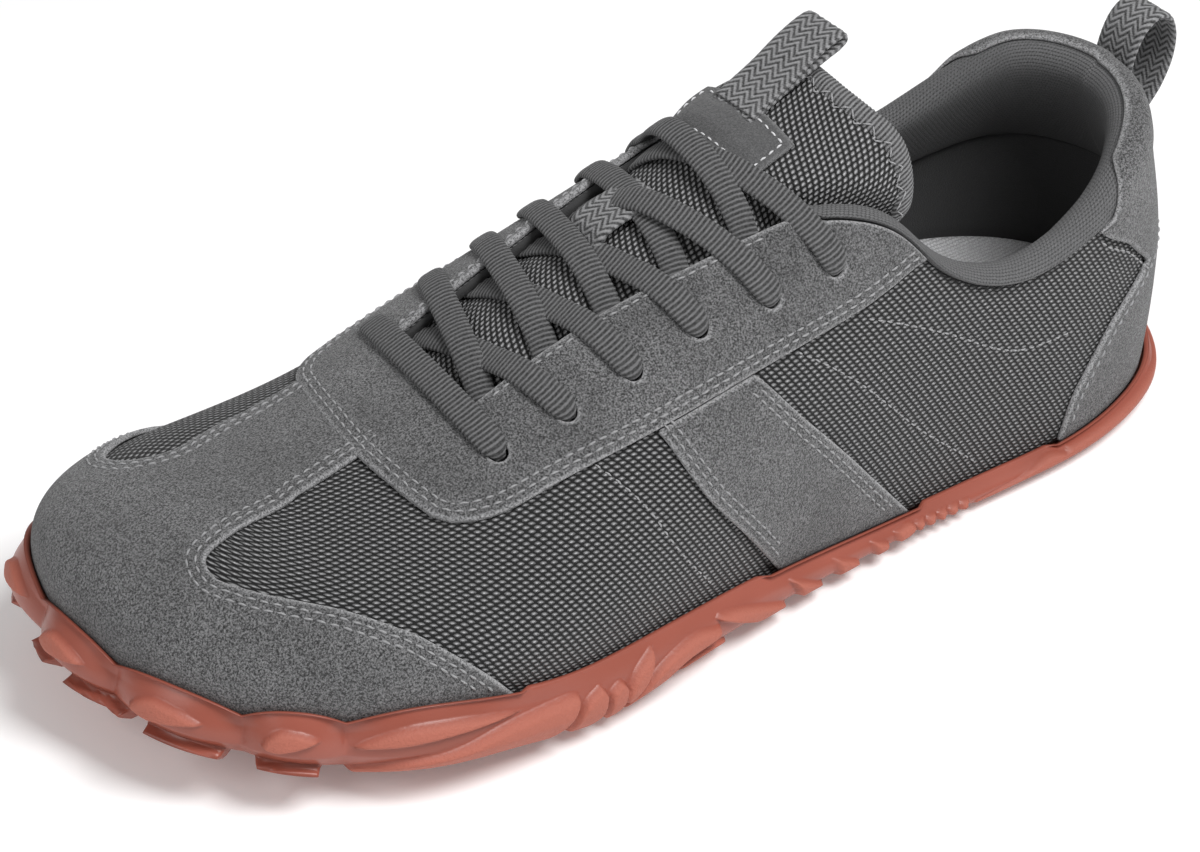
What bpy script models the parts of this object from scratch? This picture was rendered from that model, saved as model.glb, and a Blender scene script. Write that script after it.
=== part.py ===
"""Barefoot shoe, left, with a rubber outsole, suede overlays and flat laces.

Units are millimetres until a mesh is made. X runs to the toe, Y to the lateral side, Z up.
The last is a set of staves around the foot's edge. A place on it is (turn, rise): turn runs from
0 at the heel along the lateral side to 1 at the toe and back along the medial side to 2, and rise
runs from 0 at the feather line to 1 on the ridge over the instep. station() mirrors the turn, so
(station, span) crosses the shoe: span 1 is the lateral edge, 0 the ridge, -1 the medial edge.
"""
import bpy
import numpy as np

MM = 0.001

# Driving sizes of the last.
LENGTH = 280.0
BALL = 96.5
RIM = 26.8
WALL_REACH = 50.0
CROWN_REACH = 30.0
INSTEP = 118.0
COLLAR = 84.0
THROAT = 40.0

# Walls and clearances.
GAP = 0.35
UPPER_WALL = 2.0
SUEDE = 1.2
TUCK = 1.4
TONGUE = 4.2
INSOLE = 3.0
SOLE_LIP = 2.0
SOLE_BASE = 2.2
LUG_HEEL = 1.6
LUG_TOE = 3.0
SETTLE = 0.3

# Laces and webbing.
LACE_WIDTH = 6.4
LACE_THICK = 1.5
WEB_WIDTH = 14.5
WEB_THICK = 1.4
EYELET = 4.6

# station, along / LENGTH, lateral and medial / BALL, their rims / RIM, wall handle / WALL_REACH,
# crown handle / CROWN_REACH, lean of the wall in degrees
STATIONS = (
    (0.000, 0.0164, 0.000, 0.000, 0.384, 0.384, 1.10, 0.73, 5),
    (0.045, 0.0307, 0.147, -0.139, 0.340, 0.403, 1.10, 0.73, 5),
    (0.090, 0.0664, 0.261, -0.252, 0.299, 0.433, 1.04, 0.73, 4),
    (0.140, 0.1271, 0.335, -0.323, 0.261, 0.500, 0.96, 0.73, 2),
    (0.250, 0.2507, 0.370, -0.336, 0.254, 0.578, 0.88, 0.87, 1),
    (0.360, 0.3850, 0.396, -0.330, 0.347, 0.646, 0.76, 1.00, 2),
    (0.470, 0.5175, 0.435, -0.363, 0.478, 0.687, 0.62, 1.07, 5),
    (0.570, 0.6436, 0.494, -0.431, 0.593, 0.735, 0.50, 1.00, 8),
    (0.660, 0.7446, 0.518, -0.477, 0.672, 0.772, 0.42, 0.93, 9),
    (0.740, 0.8379, 0.472, -0.497, 0.761, 0.836, 0.38, 0.87, 8),
    (0.820, 0.9179, 0.359, -0.472, 0.821, 0.948, 0.36, 0.80, 8),
    (0.890, 0.9682, 0.207, -0.395, 0.881, 0.989, 0.36, 0.80, 8),
    (0.950, 0.9914, 0.037, -0.270, 0.933, 1.000, 0.36, 0.80, 8),
    (1.000, 0.9986, -0.123, -0.123, 0.970, 0.970, 0.36, 0.80, 8),
)

# along / LENGTH, height / INSTEP, across / BALL of the ridge, which starts and ends in a pole
RIDGE = (
    (0.136, 1.000, 0.000),
    (0.250, 0.924, 0.000),
    (0.357, 0.831, 0.000),
    (0.464, 0.733, -0.010),
    (0.571, 0.637, -0.026),
    (0.679, 0.528, -0.041),
    (0.757, 0.445, -0.052),
    (0.843, 0.403, -0.073),
)

# along / LENGTH, height of the upper's edge / COLLAR on the lateral and on the medial side
TOPLINE = (
    (0.000, 0.800, 0.800),
    (0.045, 0.785, 0.800),
    (0.080, 0.740, 0.785),
    (0.125, 0.680, 0.720),
    (0.180, 0.630, 0.655),
    (0.225, 0.614, 0.635),
    (0.271, 0.650, 0.670),
    (0.304, 0.712, 0.735),
    (0.328, 0.785, 0.815),
    (0.348, 0.865, 0.895),
    (0.371, 0.925, 0.960),
    (0.400, 0.965, 1.000),
    (0.430, 1.010, 1.040),
    (0.480, 1.150, 1.150),
    (0.720, 1.900, 1.900),
)

# along / LENGTH, half width of the throat / THROAT
THROAT_EDGE = (
    (0.000, 0.640),
    (0.360, 0.600),
    (0.430, 0.510),
    (0.520, 0.440),
    (0.580, 0.390),
    (0.700, 0.350),
    (1.000, 0.340),
)
THROAT_FRONT = 0.625
THROAT_REAR = 0.28
CAP_START = 0.684
EDGE_BLEND = 0.03
TOE_ROW = 0.60
BUTT = 0.0014
COLUMN_HEEL = 0.0176
COLUMN_SIDE = 0.0300
COLUMN_TOE = 0.0210
SEAM = 0.6
COVER_MARGIN = 0.006
BAR_HALF = 0.40
COLLAR_END = 0.405

# along / LENGTH, thickness of the collar's roll, its height over the edge, depth of the lining
COLLAR_ROLL = (
    (0.00, 8.5, 8.5, 20.0),
    (0.08, 8.5, 8.0, 18.0),
    (0.18, 6.6, 5.0, 12.0),
    (0.28, 5.8, 4.6, 10.0),
    (0.36, 4.8, 4.0, 7.0),
    (0.40, 4.0, 3.6, 5.0),
    (0.50, 4.0, 3.2, 4.0),
)

# stations of the tongue's ends and half its width as a span, by station
TONGUE_TOP = 0.325
TONGUE_ROOT = 0.655
TONGUE_FREE = 0.43
TONGUE_HALF = ((0.320, 0.335, 0.350, 0.365, 0.385, 0.410, 0.435, 0.520, 0.660),
               (0.280, 0.370, 0.310, 0.220, 0.185, 0.190, 0.320, 0.380, 0.360))
LABEL_THICK = 1.0
LABEL_STATIONS = (0.378, 0.424)
LABEL_SPANS = (0.155, -0.175)
LACE_SHOWS = (0.05, 0.10, 0.14, 0.15, 0.15)
LACE_UNDER = (-2.3, -1.9, -0.6, 0.0, 0.0, 0.0)
LACE_OVER = (-2.3, -0.9, 1.1, 0.9, 0.0, 0.0)
KEPT_CROSSING = 4

# (x, z) of the webbing's closed lines, and where their middle lies across
TAB_LINE = ((118, 92.5), (110, 96.0), (101, 100.5), (93, 105.0), (89.5, 108.0), (88.5, 110.5),
            (90.5, 111.3), (94.5, 108.5), (102, 103.5), (111, 98.5), (118.5, 95.0))
TAB_Y = -3.0
KEEPER_STATIONS = (0.506, 0.484)
KEEPER_SPAN = -0.03
KEEPER_WIDTH = 11.5
KEEPER_THICK = 2.0
HEEL_LOOP_LINE = ((2.6, 52.0), (2.9, 60.0), (2.2, 70.0), (0.5, 80.0), (-2.0, 89.0), (-5.0, 93.5), (-9.0, 94.0),
                  (-11.0, 90.0), (-10.0, 83.0), (-6.5, 74.0), (-2.6, 64.0), (-0.6, 52.0))

# along / LENGTH, depth of the cup below the rim, height of the sole's under side without lugs
CUP = (
    (0.00, 3.4, 2.0),
    (0.10, 3.2, 1.6),
    (0.30, 3.2, 1.8),
    (0.40, 4.0, 2.4),
    (0.52, 6.0, 2.8),
    (0.65, 8.0, 3.0),
    (0.76, 9.0, 3.0),
    (0.85, 9.5, 4.6),
    (0.93, 9.5, 8.0),
    (1.00, 9.0, 12.5),
)

# stations that the upper's columns pass through: bends of its edge and ends of its overlays
HEEL_KEYS = (0.0, 0.092, 0.104, 0.138, 0.166, 0.188)
UPPER_KEYS = (*HEEL_KEYS, 0.30, 0.345, 0.40, 0.62, THROAT_FRONT, CAP_START, 0.742, 0.868, 1.0)

# stations that the sole's columns pass through: the ends of the overlays that reach into it
SOLE_KEYS = (0.0, 0.14, 0.194, 0.202, 0.318, 0.326, 0.462, 0.470, 0.670, 0.678, 1.0)

# turns of the valleys between the toe's rubber lobes
VALLEYS = (0.610, 0.790, 0.857, 0.952, 1.030, 1.110, 1.190, 1.270, 1.420)
LOBE_RISE = 2.6
LOBE_BULGE = 1.8

# ribs of the side: turn and drop at one end, turn and drop at the other, half width, proud
RIBS = (
    (0.700, 0.26, 0.795, 0.46, 2.6, 1.6),
    (0.660, 0.30, 0.790, 0.84, 2.8, 1.8),
    (0.640, 0.50, 0.700, 0.90, 1.8, 1.4),
    (0.610, 0.42, 0.665, 0.88, 1.8, 1.4),
    (0.560, 0.30, 0.620, 0.80, 2.0, 1.5),
    (0.500, 0.35, 0.545, 0.55, 2.0, 1.4),
    (0.455, 0.30, 0.480, 0.70, 1.8, 1.3),
    (0.405, 0.30, 0.430, 0.70, 1.8, 1.3),
    (0.300, 0.40, 0.400, 0.62, 1.6, 1.0),
    (0.060, 0.30, 0.200, 0.42, 1.6, 1.0),
)

# lugs of the tread: along and across their middle, length, width, skew in degrees
LUG_ROWS = (
    (0.060, (-0.10, 0.10), 0.060, 0.150, 0),
    (0.135, (-0.24, 0.00, 0.24), 0.052, 0.160, 12),
    (0.205, (-0.25, 0.00, 0.25), 0.046, 0.160, -12),
    (0.275, (-0.24, 0.02, 0.27), 0.046, 0.150, 12),
    (0.445, (-0.24, 0.04, 0.31), 0.046, 0.160, -14),
    (0.515, (-0.27, 0.02, 0.31), 0.046, 0.170, 14),
    (0.590, (-0.34, -0.10, 0.13, 0.37), 0.046, 0.150, -14),
    (0.665, (-0.38, -0.12, 0.14, 0.40), 0.046, 0.160, 14),
    (0.742, (-0.40, -0.13, 0.13, 0.38), 0.046, 0.160, -14),
    (0.818, (-0.38, -0.12, 0.12, 0.34), 0.042, 0.150, 14),
    (0.885, (-0.30, -0.08, 0.14), 0.036, 0.140, 0),
    (0.940, (-0.24, -0.04), 0.030, 0.120, 0),
)

# turn, rise of the toe cap's window edges: the lower edge, then the upper one
CAP_LATERAL = ((0.684, 0.02, 0.90), (0.702, 0.12, 0.90), (0.724, 0.24, 0.885), (0.742, 0.33, 0.87),
               (0.774, 0.42, 0.85), (0.812, 0.47, 0.82), (0.868, 0.51, 0.77), (0.900, 0.545, 0.67),
               (0.916, 0.59, 0.59))
CAP_MEDIAL = ((0.684, 0.02, 0.70), (0.702, 0.12, 0.71), (0.724, 0.24, 0.715), (0.742, 0.32, 0.72),
              (0.774, 0.40, 0.72), (0.812, 0.46, 0.70), (0.840, 0.50, 0.67), (0.868, 0.57, 0.57))
# span and station of the eyestay's front edge, which the toe cap's strip butts against
BAR_FRONT = ((-0.44, 0.656), (-0.38, 0.672), (-0.31, 0.678), (-0.13, 0.686), (0.08, 0.693),
             (0.25, 0.690), (0.36, 0.684), (0.44, 0.662))

# station of the eyestay's inner edge, then station and span of its outer edge
EYESTAY_ARM = (
    (0.328, 0.322, 0.545),
    (0.342, 0.342, 0.545),
    (0.362, 0.374, 0.538),
    (0.385, 0.405, 0.530),
    (0.410, 0.432, 0.518),
    (0.450, 0.460, 0.510),
    (0.500, 0.508, 0.500),
    (0.550, 0.560, 0.482),
    (0.600, 0.615, 0.460),
    (0.622, 0.650, 0.448),
)

# rise along the saddle, station of its front edge and of its rear edge, from the top down
SADDLE = (
    (0.000, 0.534, 0.462),
    (0.300, 0.520, 0.428),
    (0.600, 0.500, 0.382),
    (1.000, 0.456, 0.332),
)

# turn, rise of the heel counter's low band, rise of the upper piece's lower edge
COUNTER = (
    (0.000, 0.215, 0.215),
    (0.092, 0.195, 0.195),
    (0.104, 0.180, 0.225),
    (0.138, 0.150, 0.285),
    (0.166, 0.090, 0.330),
    (0.188, 0.015, 0.400),
)
COUNTER_TOP_END = 0.166

# stations and spans of the eyelets, mirrored to the medial side
EYELETS = ((0.628, 0.310), (0.578, 0.330), (0.532, 0.340), (0.486, 0.350), (0.436, 0.380),
           (0.388, 0.410))

COLOURS = {
    "suede": (0.165, 0.165, 0.168, 1),
    "mesh": (0.090, 0.090, 0.094, 1),
    "knit": (0.070, 0.070, 0.073, 1),
    "rubber": (0.430, 0.140, 0.092, 1),
    "foam": (0.400, 0.400, 0.395, 1),
    "webbing": (0.085, 0.085, 0.090, 1),
}


def natural(keys, values, at):
    """Natural cubic spline through (keys, values)."""
    keys = np.asarray(keys, float)
    values = np.asarray(values, float)
    count = len(keys)
    gap = np.diff(keys)
    system = np.eye(count)
    right = np.zeros(count)
    for i in range(1, count - 1):
        system[i, i - 1:i + 2] = gap[i - 1], 2 * (gap[i - 1] + gap[i]), gap[i]
        right[i] = 6 * ((values[i + 1] - values[i]) / gap[i] - (values[i] - values[i - 1]) / gap[i - 1])
    bend = np.linalg.solve(system, right)
    at = np.clip(np.asarray(at, float), keys[0], keys[-1])
    k = np.clip(np.searchsorted(keys, at, side="right") - 1, 0, count - 2)
    t = at - keys[k]
    h = gap[k]
    return ((bend[k] * (h - t) ** 3 + bend[k + 1] * t ** 3) / (6 * h)
            + (values[k] / h - bend[k] * h / 6) * (h - t) + (values[k + 1] / h - bend[k + 1] * h / 6) * t)


def periodic(keys, rows, period, at):
    """Closed cubic spline through rows of values at keys, each period once around."""
    keys = np.asarray(keys, float)
    rows = np.asarray(rows, float)
    count = len(keys)
    gap = np.diff(np.append(keys, keys[0] + period))
    system = np.zeros((count, count))
    right = np.zeros_like(rows)
    for i in range(count):
        after = (i + 1) % count
        system[i, i - 1] += gap[i - 1]
        system[i, i] += 2 * (gap[i - 1] + gap[i])
        system[i, after] += gap[i]
        right[i] = 6 * ((rows[after] - rows[i]) / gap[i] - (rows[i] - rows[i - 1]) / gap[i - 1])
    bend = np.linalg.solve(system, right)
    offset = (np.asarray(at, float) - keys[0]) % period
    k = np.clip(np.searchsorted(keys - keys[0], offset, side="right") - 1, 0, count - 1)
    t = (offset - (keys[k] - keys[0]))[..., None]
    h = gap[k][..., None]
    after = (k + 1) % count
    return ((bend[k] * (h - t) ** 3 + bend[after] * t ** 3) / (6 * h)
            + (rows[k] / h - bend[k] * h / 6) * (h - t) + (rows[after] / h - bend[after] * h / 6) * t)


def ring_rows():
    """The stations as staves around the foot: along, across, rim, wall, lean, crown by turn."""
    table = np.array(STATIONS)
    turn = table[:, 0]
    shared = np.column_stack([table[:, 6] * WALL_REACH, table[:, 8], table[:, 7] * CROWN_REACH])
    sides = []
    for across, rim in ((2, 4), (3, 5)):
        sides.append(np.column_stack([table[:, 1] * LENGTH, table[:, across] * BALL,
                                      table[:, rim] * RIM, shared]))
    keys = np.concatenate([turn, 2 - turn[-2:0:-1]])
    return keys, np.vstack([sides[0], sides[1][-2:0:-1]])


RING_KEYS, RING = ring_rows()
RIDGE_X = np.array(RIDGE)[:, 0] * LENGTH
RIDGE_Z = np.array(RIDGE)[:, 1] * INSTEP
RIDGE_Y = np.array(RIDGE)[:, 2] * BALL


def stave(turn):
    """The four handles of the stave at each turn."""
    row = periodic(RING_KEYS, RING, 2.0, turn)
    foot = row[..., :3]
    x = np.clip(foot[..., 0], RIDGE_X[0], RIDGE_X[-1])
    ridge = np.stack([x, natural(RIDGE_X, RIDGE_Y, x), natural(RIDGE_X, RIDGE_Z, x)], -1)
    slope = (natural(RIDGE_X, RIDGE_Z, x + 1) - natural(RIDGE_X, RIDGE_Z, x - 1)) / 2
    out = (foot - ridge) * [1, 1, 0]
    out /= np.linalg.norm(out, axis=-1, keepdims=True)
    lean = np.radians(row[..., 4:5])
    up = np.array([0.0, 0.0, 1.0])
    wall = foot + row[..., 3:4] * (np.sin(lean) * out + np.cos(lean) * up)
    crown = ridge + row[..., 5:6] * (out + (slope * out[..., 0])[..., None] * up)
    return foot, wall, crown, ridge


def last(turn, rise):
    """Points of the last. Below the feather line a stave runs straight on."""
    turn, rise = np.broadcast_arrays(np.asarray(turn, float), np.asarray(rise, float))
    foot, wall, crown, ridge = stave(turn)
    v = np.clip(rise, 0, 1)[..., None]
    curve = ((1 - v) ** 3 * foot + 3 * v * (1 - v) ** 2 * wall + 3 * v * v * (1 - v) * crown
             + v ** 3 * ridge)
    return curve + np.minimum(rise, 0)[..., None] * 3 * (wall - foot)


def across_last(station, span):
    """Points of the last by station and span, over the ridge."""
    station, span = np.broadcast_arrays(np.asarray(station, float), np.asarray(span, float))
    return last(np.where(span >= 0, station, 2 - station), 1 - np.abs(span))


def below_rim(turn, depth):
    """The rise that lies depth millimetres below the feather line, as a negative number."""
    foot, wall, _, _ = stave(np.asarray(turn, float))
    return -depth / (3 * np.linalg.norm(wall - foot, axis=-1))


def edge_rise(turn):
    """Rise of the upper's edge: the collar's top line, blended into the throat's edge."""
    turn = np.atleast_1d(np.asarray(turn, float)) % 2.0
    rises = np.linspace(0, 1, 161)
    grid = last(turn[:, None], rises[None, :])
    table = np.array(TOPLINE)
    throat = np.array(THROAT_EDGE)
    result = np.empty(len(turn))
    for i, points in enumerate(grid):
        x = points[:, 0]
        column = 1 if turn[i] <= 1 else 2
        top = points[:, 2] - natural(table[:, 0] * LENGTH, table[:, column] * COLLAR, x)
        half = natural(throat[:, 0] * LENGTH, throat[:, 1] * THROAT, x)
        side = half - np.abs(points[:, 1] - natural(RIDGE_X, RIDGE_Y, x))
        collar = first_crossing(rises, top)
        lacing = first_crossing(rises, side) if x[0] > THROAT_REAR * LENGTH else 1.0
        low = min(collar, lacing)
        result[i] = low - EDGE_BLEND * np.exp(-abs(collar - lacing) / EDGE_BLEND)
    return result


def first_crossing(steps, values):
    """The first step at which values rise through nought, or 1 where they never do."""
    above = np.nonzero(values >= 0)[0]
    if len(above) == 0 or above[0] == 0:
        return 1.0
    k = above[0]
    return steps[k - 1] + (steps[k] - steps[k - 1]) * values[k - 1] / (values[k - 1] - values[k])


def steps_between(keys, most):
    """The keys, with even steps of at most the given size put between them."""
    out = [keys[0]]
    for a, b in zip(keys, keys[1:]):
        count = max(1, int(np.ceil(abs(b - a) / most - 1e-6)))
        out.extend(a + (b - a) * (k + 1) / count for k in range(count))
    return np.array(out)


def stations_of(keys):
    """Stations through the keys, closer together around the heel and the toe."""
    out = [keys[0]]
    for a, b in zip(keys, keys[1:]):
        middle = (a + b) / 2
        most = COLUMN_HEEL if middle < 0.14 else COLUMN_TOE if middle > 0.66 else COLUMN_SIDE
        out.extend(steps_between([a, b], most)[1:])
    return np.array(out)


def weld(flat):
    """One number for each place, and the places."""
    _, first, back = np.unique(np.round(flat, 4), axis=0, return_index=True, return_inverse=True)
    return back.reshape(-1), flat[first]


def grid_faces(ids, keep):
    """Faces of a grid of numbers, each side's repeated corners dropped."""
    faces = []
    for i, j in zip(*np.nonzero(keep)):
        loop = [ids[i, j], ids[i, j + 1], ids[i + 1, j + 1], ids[i + 1, j]]
        short = [a for k, a in enumerate(loop) if a != loop[k - 1]]
        if len(set(short)) == len(short) and len(short) > 2:
            faces.append(short)
    return faces


def point_normals(points, faces):
    """Normals of the points, from the faces around them."""
    total = np.zeros_like(points)
    for face in faces:
        corner = points[face]
        area = np.cross(corner[1] - corner[0], corner[2] - corner[0])
        if len(face) == 4:
            area = area + np.cross(corner[2] - corner[0], corner[3] - corner[0])
        total[face] += area
    return total / np.maximum(np.linalg.norm(total, axis=1, keepdims=True), 1e-9)


def thicken(pieces, low, high):
    """A closed solid between two offsets of grids of points that weld into one sheet.

    Each piece is (points, keep), and low and high are one offset for all or a list of grids.
    """
    flat = np.vstack([points.reshape(-1, 3) for points, _ in pieces])
    back, places = weld(flat)
    low_of = np.zeros(len(places))
    high_of = np.zeros(len(places))
    faces = []
    start = 0
    for k, (points, keep) in enumerate(pieces):
        count = points.shape[0] * points.shape[1]
        ids = back[start:start + count].reshape(points.shape[:2])
        start += count
        faces += grid_faces(ids, keep)
        low_of[ids] = low[k] if isinstance(low, list) else low
        high_of[ids] = high[k] if isinstance(high, list) else high
    normals = point_normals(places, faces)
    count = len(places)
    outer = places + normals * high_of[:, None]
    inner = places + normals * low_of[:, None]
    solid = list(faces) + [[v + count for v in reversed(face)] for face in faces]
    edges = {(face[k - 1], a) for face in faces for k, a in enumerate(face)}
    for a, b in sorted(edges):
        if (b, a) not in edges:
            solid.append([b, a, a + count, b + count])
    return np.vstack([outer, inner]), solid


def make(name, points, faces, material, smooth=False):
    """A mesh object in metres, with triangles instead of bent quads."""
    used = sorted({v for face in faces for v in face})
    number = {v: k for k, v in enumerate(used)}
    mesh = bpy.data.meshes.new(name)
    corners = [tuple(float(c) * MM for c in points[v]) for v in used]
    mesh.from_pydata(corners, [], [[number[v] for v in face] for face in faces])
    mesh.update()
    for polygon in mesh.polygons:
        polygon.use_smooth = smooth
    item = bpy.data.objects.new(name, mesh)
    PARTS.objects.link(item)
    mesh.materials.append(material)
    return item


def paint(name, colour, roughness):
    """A plain material for one object."""
    material = bpy.data.materials.new(name)
    material.use_nodes = True
    shader = material.node_tree.nodes["Principled BSDF"]
    shader.inputs["Base Color"].default_value = COLOURS[colour]
    shader.inputs["Roughness"].default_value = roughness
    shader.inputs["Metallic"].default_value = 0.0
    material.diffuse_color = COLOURS[colour]
    return material


def every(grid):
    """Keeps every quad of a grid."""
    return np.ones((grid.shape[0] - 1, grid.shape[1] - 1), bool)


def facing(side, grid, keep):
    """A half's grid and kept quads, turned so that both halves face out."""
    return (grid, keep) if side > 0 else (grid[:, ::-1], keep[:, ::-1])


def turned(side, station):
    """The turn of a station on one side."""
    return station if side > 0 else 2 - station


def cup_at(turn):
    """Cup depth and height of the under side at each turn."""
    x = stave(turn)[0][..., 0]
    table = np.array(CUP)
    return (natural(table[:, 0] * LENGTH, table[:, 1], x), natural(table[:, 0] * LENGTH, table[:, 2], x))


def covered(turn):
    """1 where a suede overlay reaches down into the sole, 0 where the bare mesh does."""
    station = 1 - np.abs(1 - np.asarray(turn, float) % 2.0)
    ramp = 0.008
    total = np.zeros_like(station)
    for start, end in ((-1, COUNTER[-1][0]), (SADDLE[-1][2], SADDLE[-1][1]), (CAP_START, 2)):
        rise = np.clip((station - start + COVER_MARGIN) / ramp + 1, 0, 1)
        fall = np.clip((end + COVER_MARGIN - station) / ramp + 1, 0, 1)
        total = np.maximum(total, np.minimum(rise, fall))
    return total


def lobe(turn):
    """0 in the valleys of the toe's rubber rim and along the heel, up to 1 on its lobes."""
    turn = np.asarray(turn, float) % 2.0
    valleys = np.array(VALLEYS)
    k = np.clip(np.searchsorted(valleys, turn) - 1, 0, len(valleys) - 2)
    share = np.clip((turn - valleys[k]) / (valleys[k + 1] - valleys[k]), 0, 1)
    arch = 1 - np.abs(2 * share - 1) ** 2.2
    first = k == 0
    final = k == len(valleys) - 2
    arch = np.where(first, np.sin(np.pi * share ** 2.0) ** 1.0, arch)
    arch = np.where(final, np.sin(np.pi * (1 - share) ** 2.0), arch)
    return np.where((turn < valleys[0]) | (turn > valleys[-1]), 0, arch)


def spine_of(turns):
    """The line along the middle of the sole's floor that every stave's row runs to."""
    turns = np.asarray(turns, float)
    foot, other = stave(turns)[0], stave(2 - turns)[0]
    x = np.clip(foot[:, 0], RIDGE_X[0], RIDGE_X[-1] + 12)
    stations = np.linspace(0.05, 0.95, 60)
    lateral, medial = stave(stations)[0], stave(2 - stations)[0]
    depth, _ = cup_at(stations)
    middle = (lateral + medial) / 2
    y = np.interp(x, lateral[:, 0], middle[:, 1])
    z = np.interp(x, lateral[:, 0], middle[:, 2] - depth)
    return np.column_stack([x, y, z])


def outward(turn):
    """The level direction that leaves the sole's outline square to it."""
    step = 1e-3
    along = stave(turn + step)[0] - stave(turn - step)[0]
    side = np.stack([-along[..., 1], along[..., 0], np.zeros_like(along[..., 0])], -1)
    return side / np.linalg.norm(side, axis=-1, keepdims=True)


def ribs(turn, drop, height):
    """How proud the side's ribs stand at a turn and a drop, for a wall of the given height."""
    turn = np.asarray(turn, float) % 2.0
    station = 1 - np.abs(1 - turn)
    pitch = 310.0
    total = np.zeros(np.broadcast(turn, drop).shape)
    for turn_a, drop_a, turn_b, drop_b, half, proud in RIBS:
        across = (turn_b - turn_a) * pitch
        down = (drop_b - drop_a) * height
        length = np.hypot(across, down)
        x = (station - turn_a) * pitch
        y = (drop - drop_a) * height
        share = np.clip((x * across + y * down) / length ** 2, 0, 1)
        away = np.hypot(x - share * across, y - share * down)
        taper = np.sin(np.pi * np.clip(share, 0.06, 0.94)) ** 0.4
        total = np.maximum(total, proud * np.clip(1.6 * (1 - away / (half * taper)), 0, 1) * taper)
    return total


# drop from the rim's top to the sole's bottom edge, how far out the side stands there
SIDE = ((0.00, 1.8), (0.16, 3.0), (0.36, 4.1), (0.58, 4.5), (0.80, 4.1), (1.00, 2.6))


def make_outsole():
    """The cup sole: under side, side wall with lobes and ribs, rim, cup and floor, then the lugs."""
    half = stations_of(SOLE_KEYS)
    turns = np.concatenate([half, 2 - half[-2:0:-1]])
    foot, wall, _, _ = stave(turns)
    out = outward(turns)
    depth, under = cup_at(turns)
    swell = lobe(turns)
    cup = GAP + (SUEDE + GAP) * covered(turns)
    lip = foot + out * cup[:, None]
    top = foot[:, 2] + LOBE_RISE * swell - 0.5
    floor = foot[:, 2] - depth
    height = top - under
    rows = []
    spine = spine_of(turns)
    table = np.array(CUP)
    spine_under = natural(table[:, 0] * LENGTH, table[:, 2], spine[:, 0])
    spine_floor = spine[:, 2]

    def level(base, z):
        return np.column_stack([base[:, :2], z])

    bottom_edge = foot + out * (SIDE[-1][1] * 0.4)
    for share in (0.0, 0.6):
        base = spine + (bottom_edge - spine) * share
        rows.append(level(base, spine_under + (under - spine_under) * share))
    rows.append(level(foot + out * SIDE[-1][1] * 0.75, under + 0.1))
    for drop, proud in reversed(SIDE):
        bulge = LOBE_BULGE * swell * np.sin(np.pi * min(drop + 0.12, 1.0)) if drop < 1 else 0 * swell
        relief = ribs(turns, drop, height)
        base = foot + out * (proud + bulge + relief + 0 * cup)[:, None]
        rows.append(level(base, top - 0.4 - drop * (height - 0.9)))
    rows.append(level(foot + out * (cup + 0.7)[:, None], top))
    rows.append(level(lip, top - 0.3))
    rows.append(level(foot + out * (cup - np.tan(np.radians(6)) * depth)[:, None], floor))
    for share in (1.0,):
        base = lip + (spine - lip) * share
        rows.append(level(base, floor + (spine_floor - floor) * share))
    grid = np.stack(rows, 1)
    grid = np.concatenate([grid, grid[:1]], 0)
    back, places = weld(grid.reshape(-1, 3))
    faces = grid_faces(back.reshape(grid.shape[:2]), every(grid))
    sole = make("outsole", places, faces, paint("outsole_rubber", "rubber", 0.55))
    add_lugs(sole)
    return sole


def under_at(x):
    """Height of the sole's under side and of its tread at a place along the shoe."""
    table = np.array(CUP)
    under = natural(table[:, 0] * LENGTH, table[:, 2], x)
    lug = np.interp(x / LENGTH, (0.3, 0.45), (LUG_HEEL, LUG_TOE))
    return under, under - lug


def add_lugs(sole):
    """Joins the tread's blocks to the sole."""
    points = []
    faces = []
    for along, middles, length, width, skew in LUG_ROWS:
        for across in middles:
            turn = np.tan(np.radians(skew)) * (1 if across >= 0 else -1)
            corners = []
            for sx, sy in ((-1, -1), (1, -1), (1, 1), (-1, 1)):
                y = (across + sy * width / 2) * BALL
                x = along * LENGTH + sx * length * LENGTH / 2 + turn * (y - across * BALL)
                corners.append((x, y))
            base = len(points)
            for x, y in corners:
                points.append((x, y, max(float(under_at(x)[1]) - SETTLE, 0.0)))
            for x, y in corners:
                points.append((x, y, float(under_at(x)[0]) + 0.9))
            faces.append([base, base + 2, base + 1])
            faces.append([base, base + 3, base + 2])
            faces.append([base + 4, base + 5, base + 6])
            faces.append([base + 4, base + 6, base + 7])
            for k in range(4):
                a, b = base + k, base + (k + 1) % 4
                faces.append([a, b, b + 4])
                faces.append([a, b + 4, a + 4])
    cutter = make("lug_blocks", np.array(points), faces, sole.data.materials[0])
    unite(sole, cutter)


def unite(item, other):
    """Joins another solid to an item and removes the other."""
    modifier = item.modifiers.new("join", "BOOLEAN")
    modifier.operation = "UNION"
    modifier.solver = "EXACT"
    modifier.object = other
    bake(item)
    bpy.data.objects.remove(other, do_unlink=True)


def bake(item):
    """Turns an item's modifiers into its mesh."""
    graph = bpy.context.evaluated_depsgraph_get()
    mesh = bpy.data.meshes.new_from_object(item.evaluated_get(graph))
    item.modifiers.clear()
    item.data = mesh


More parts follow.
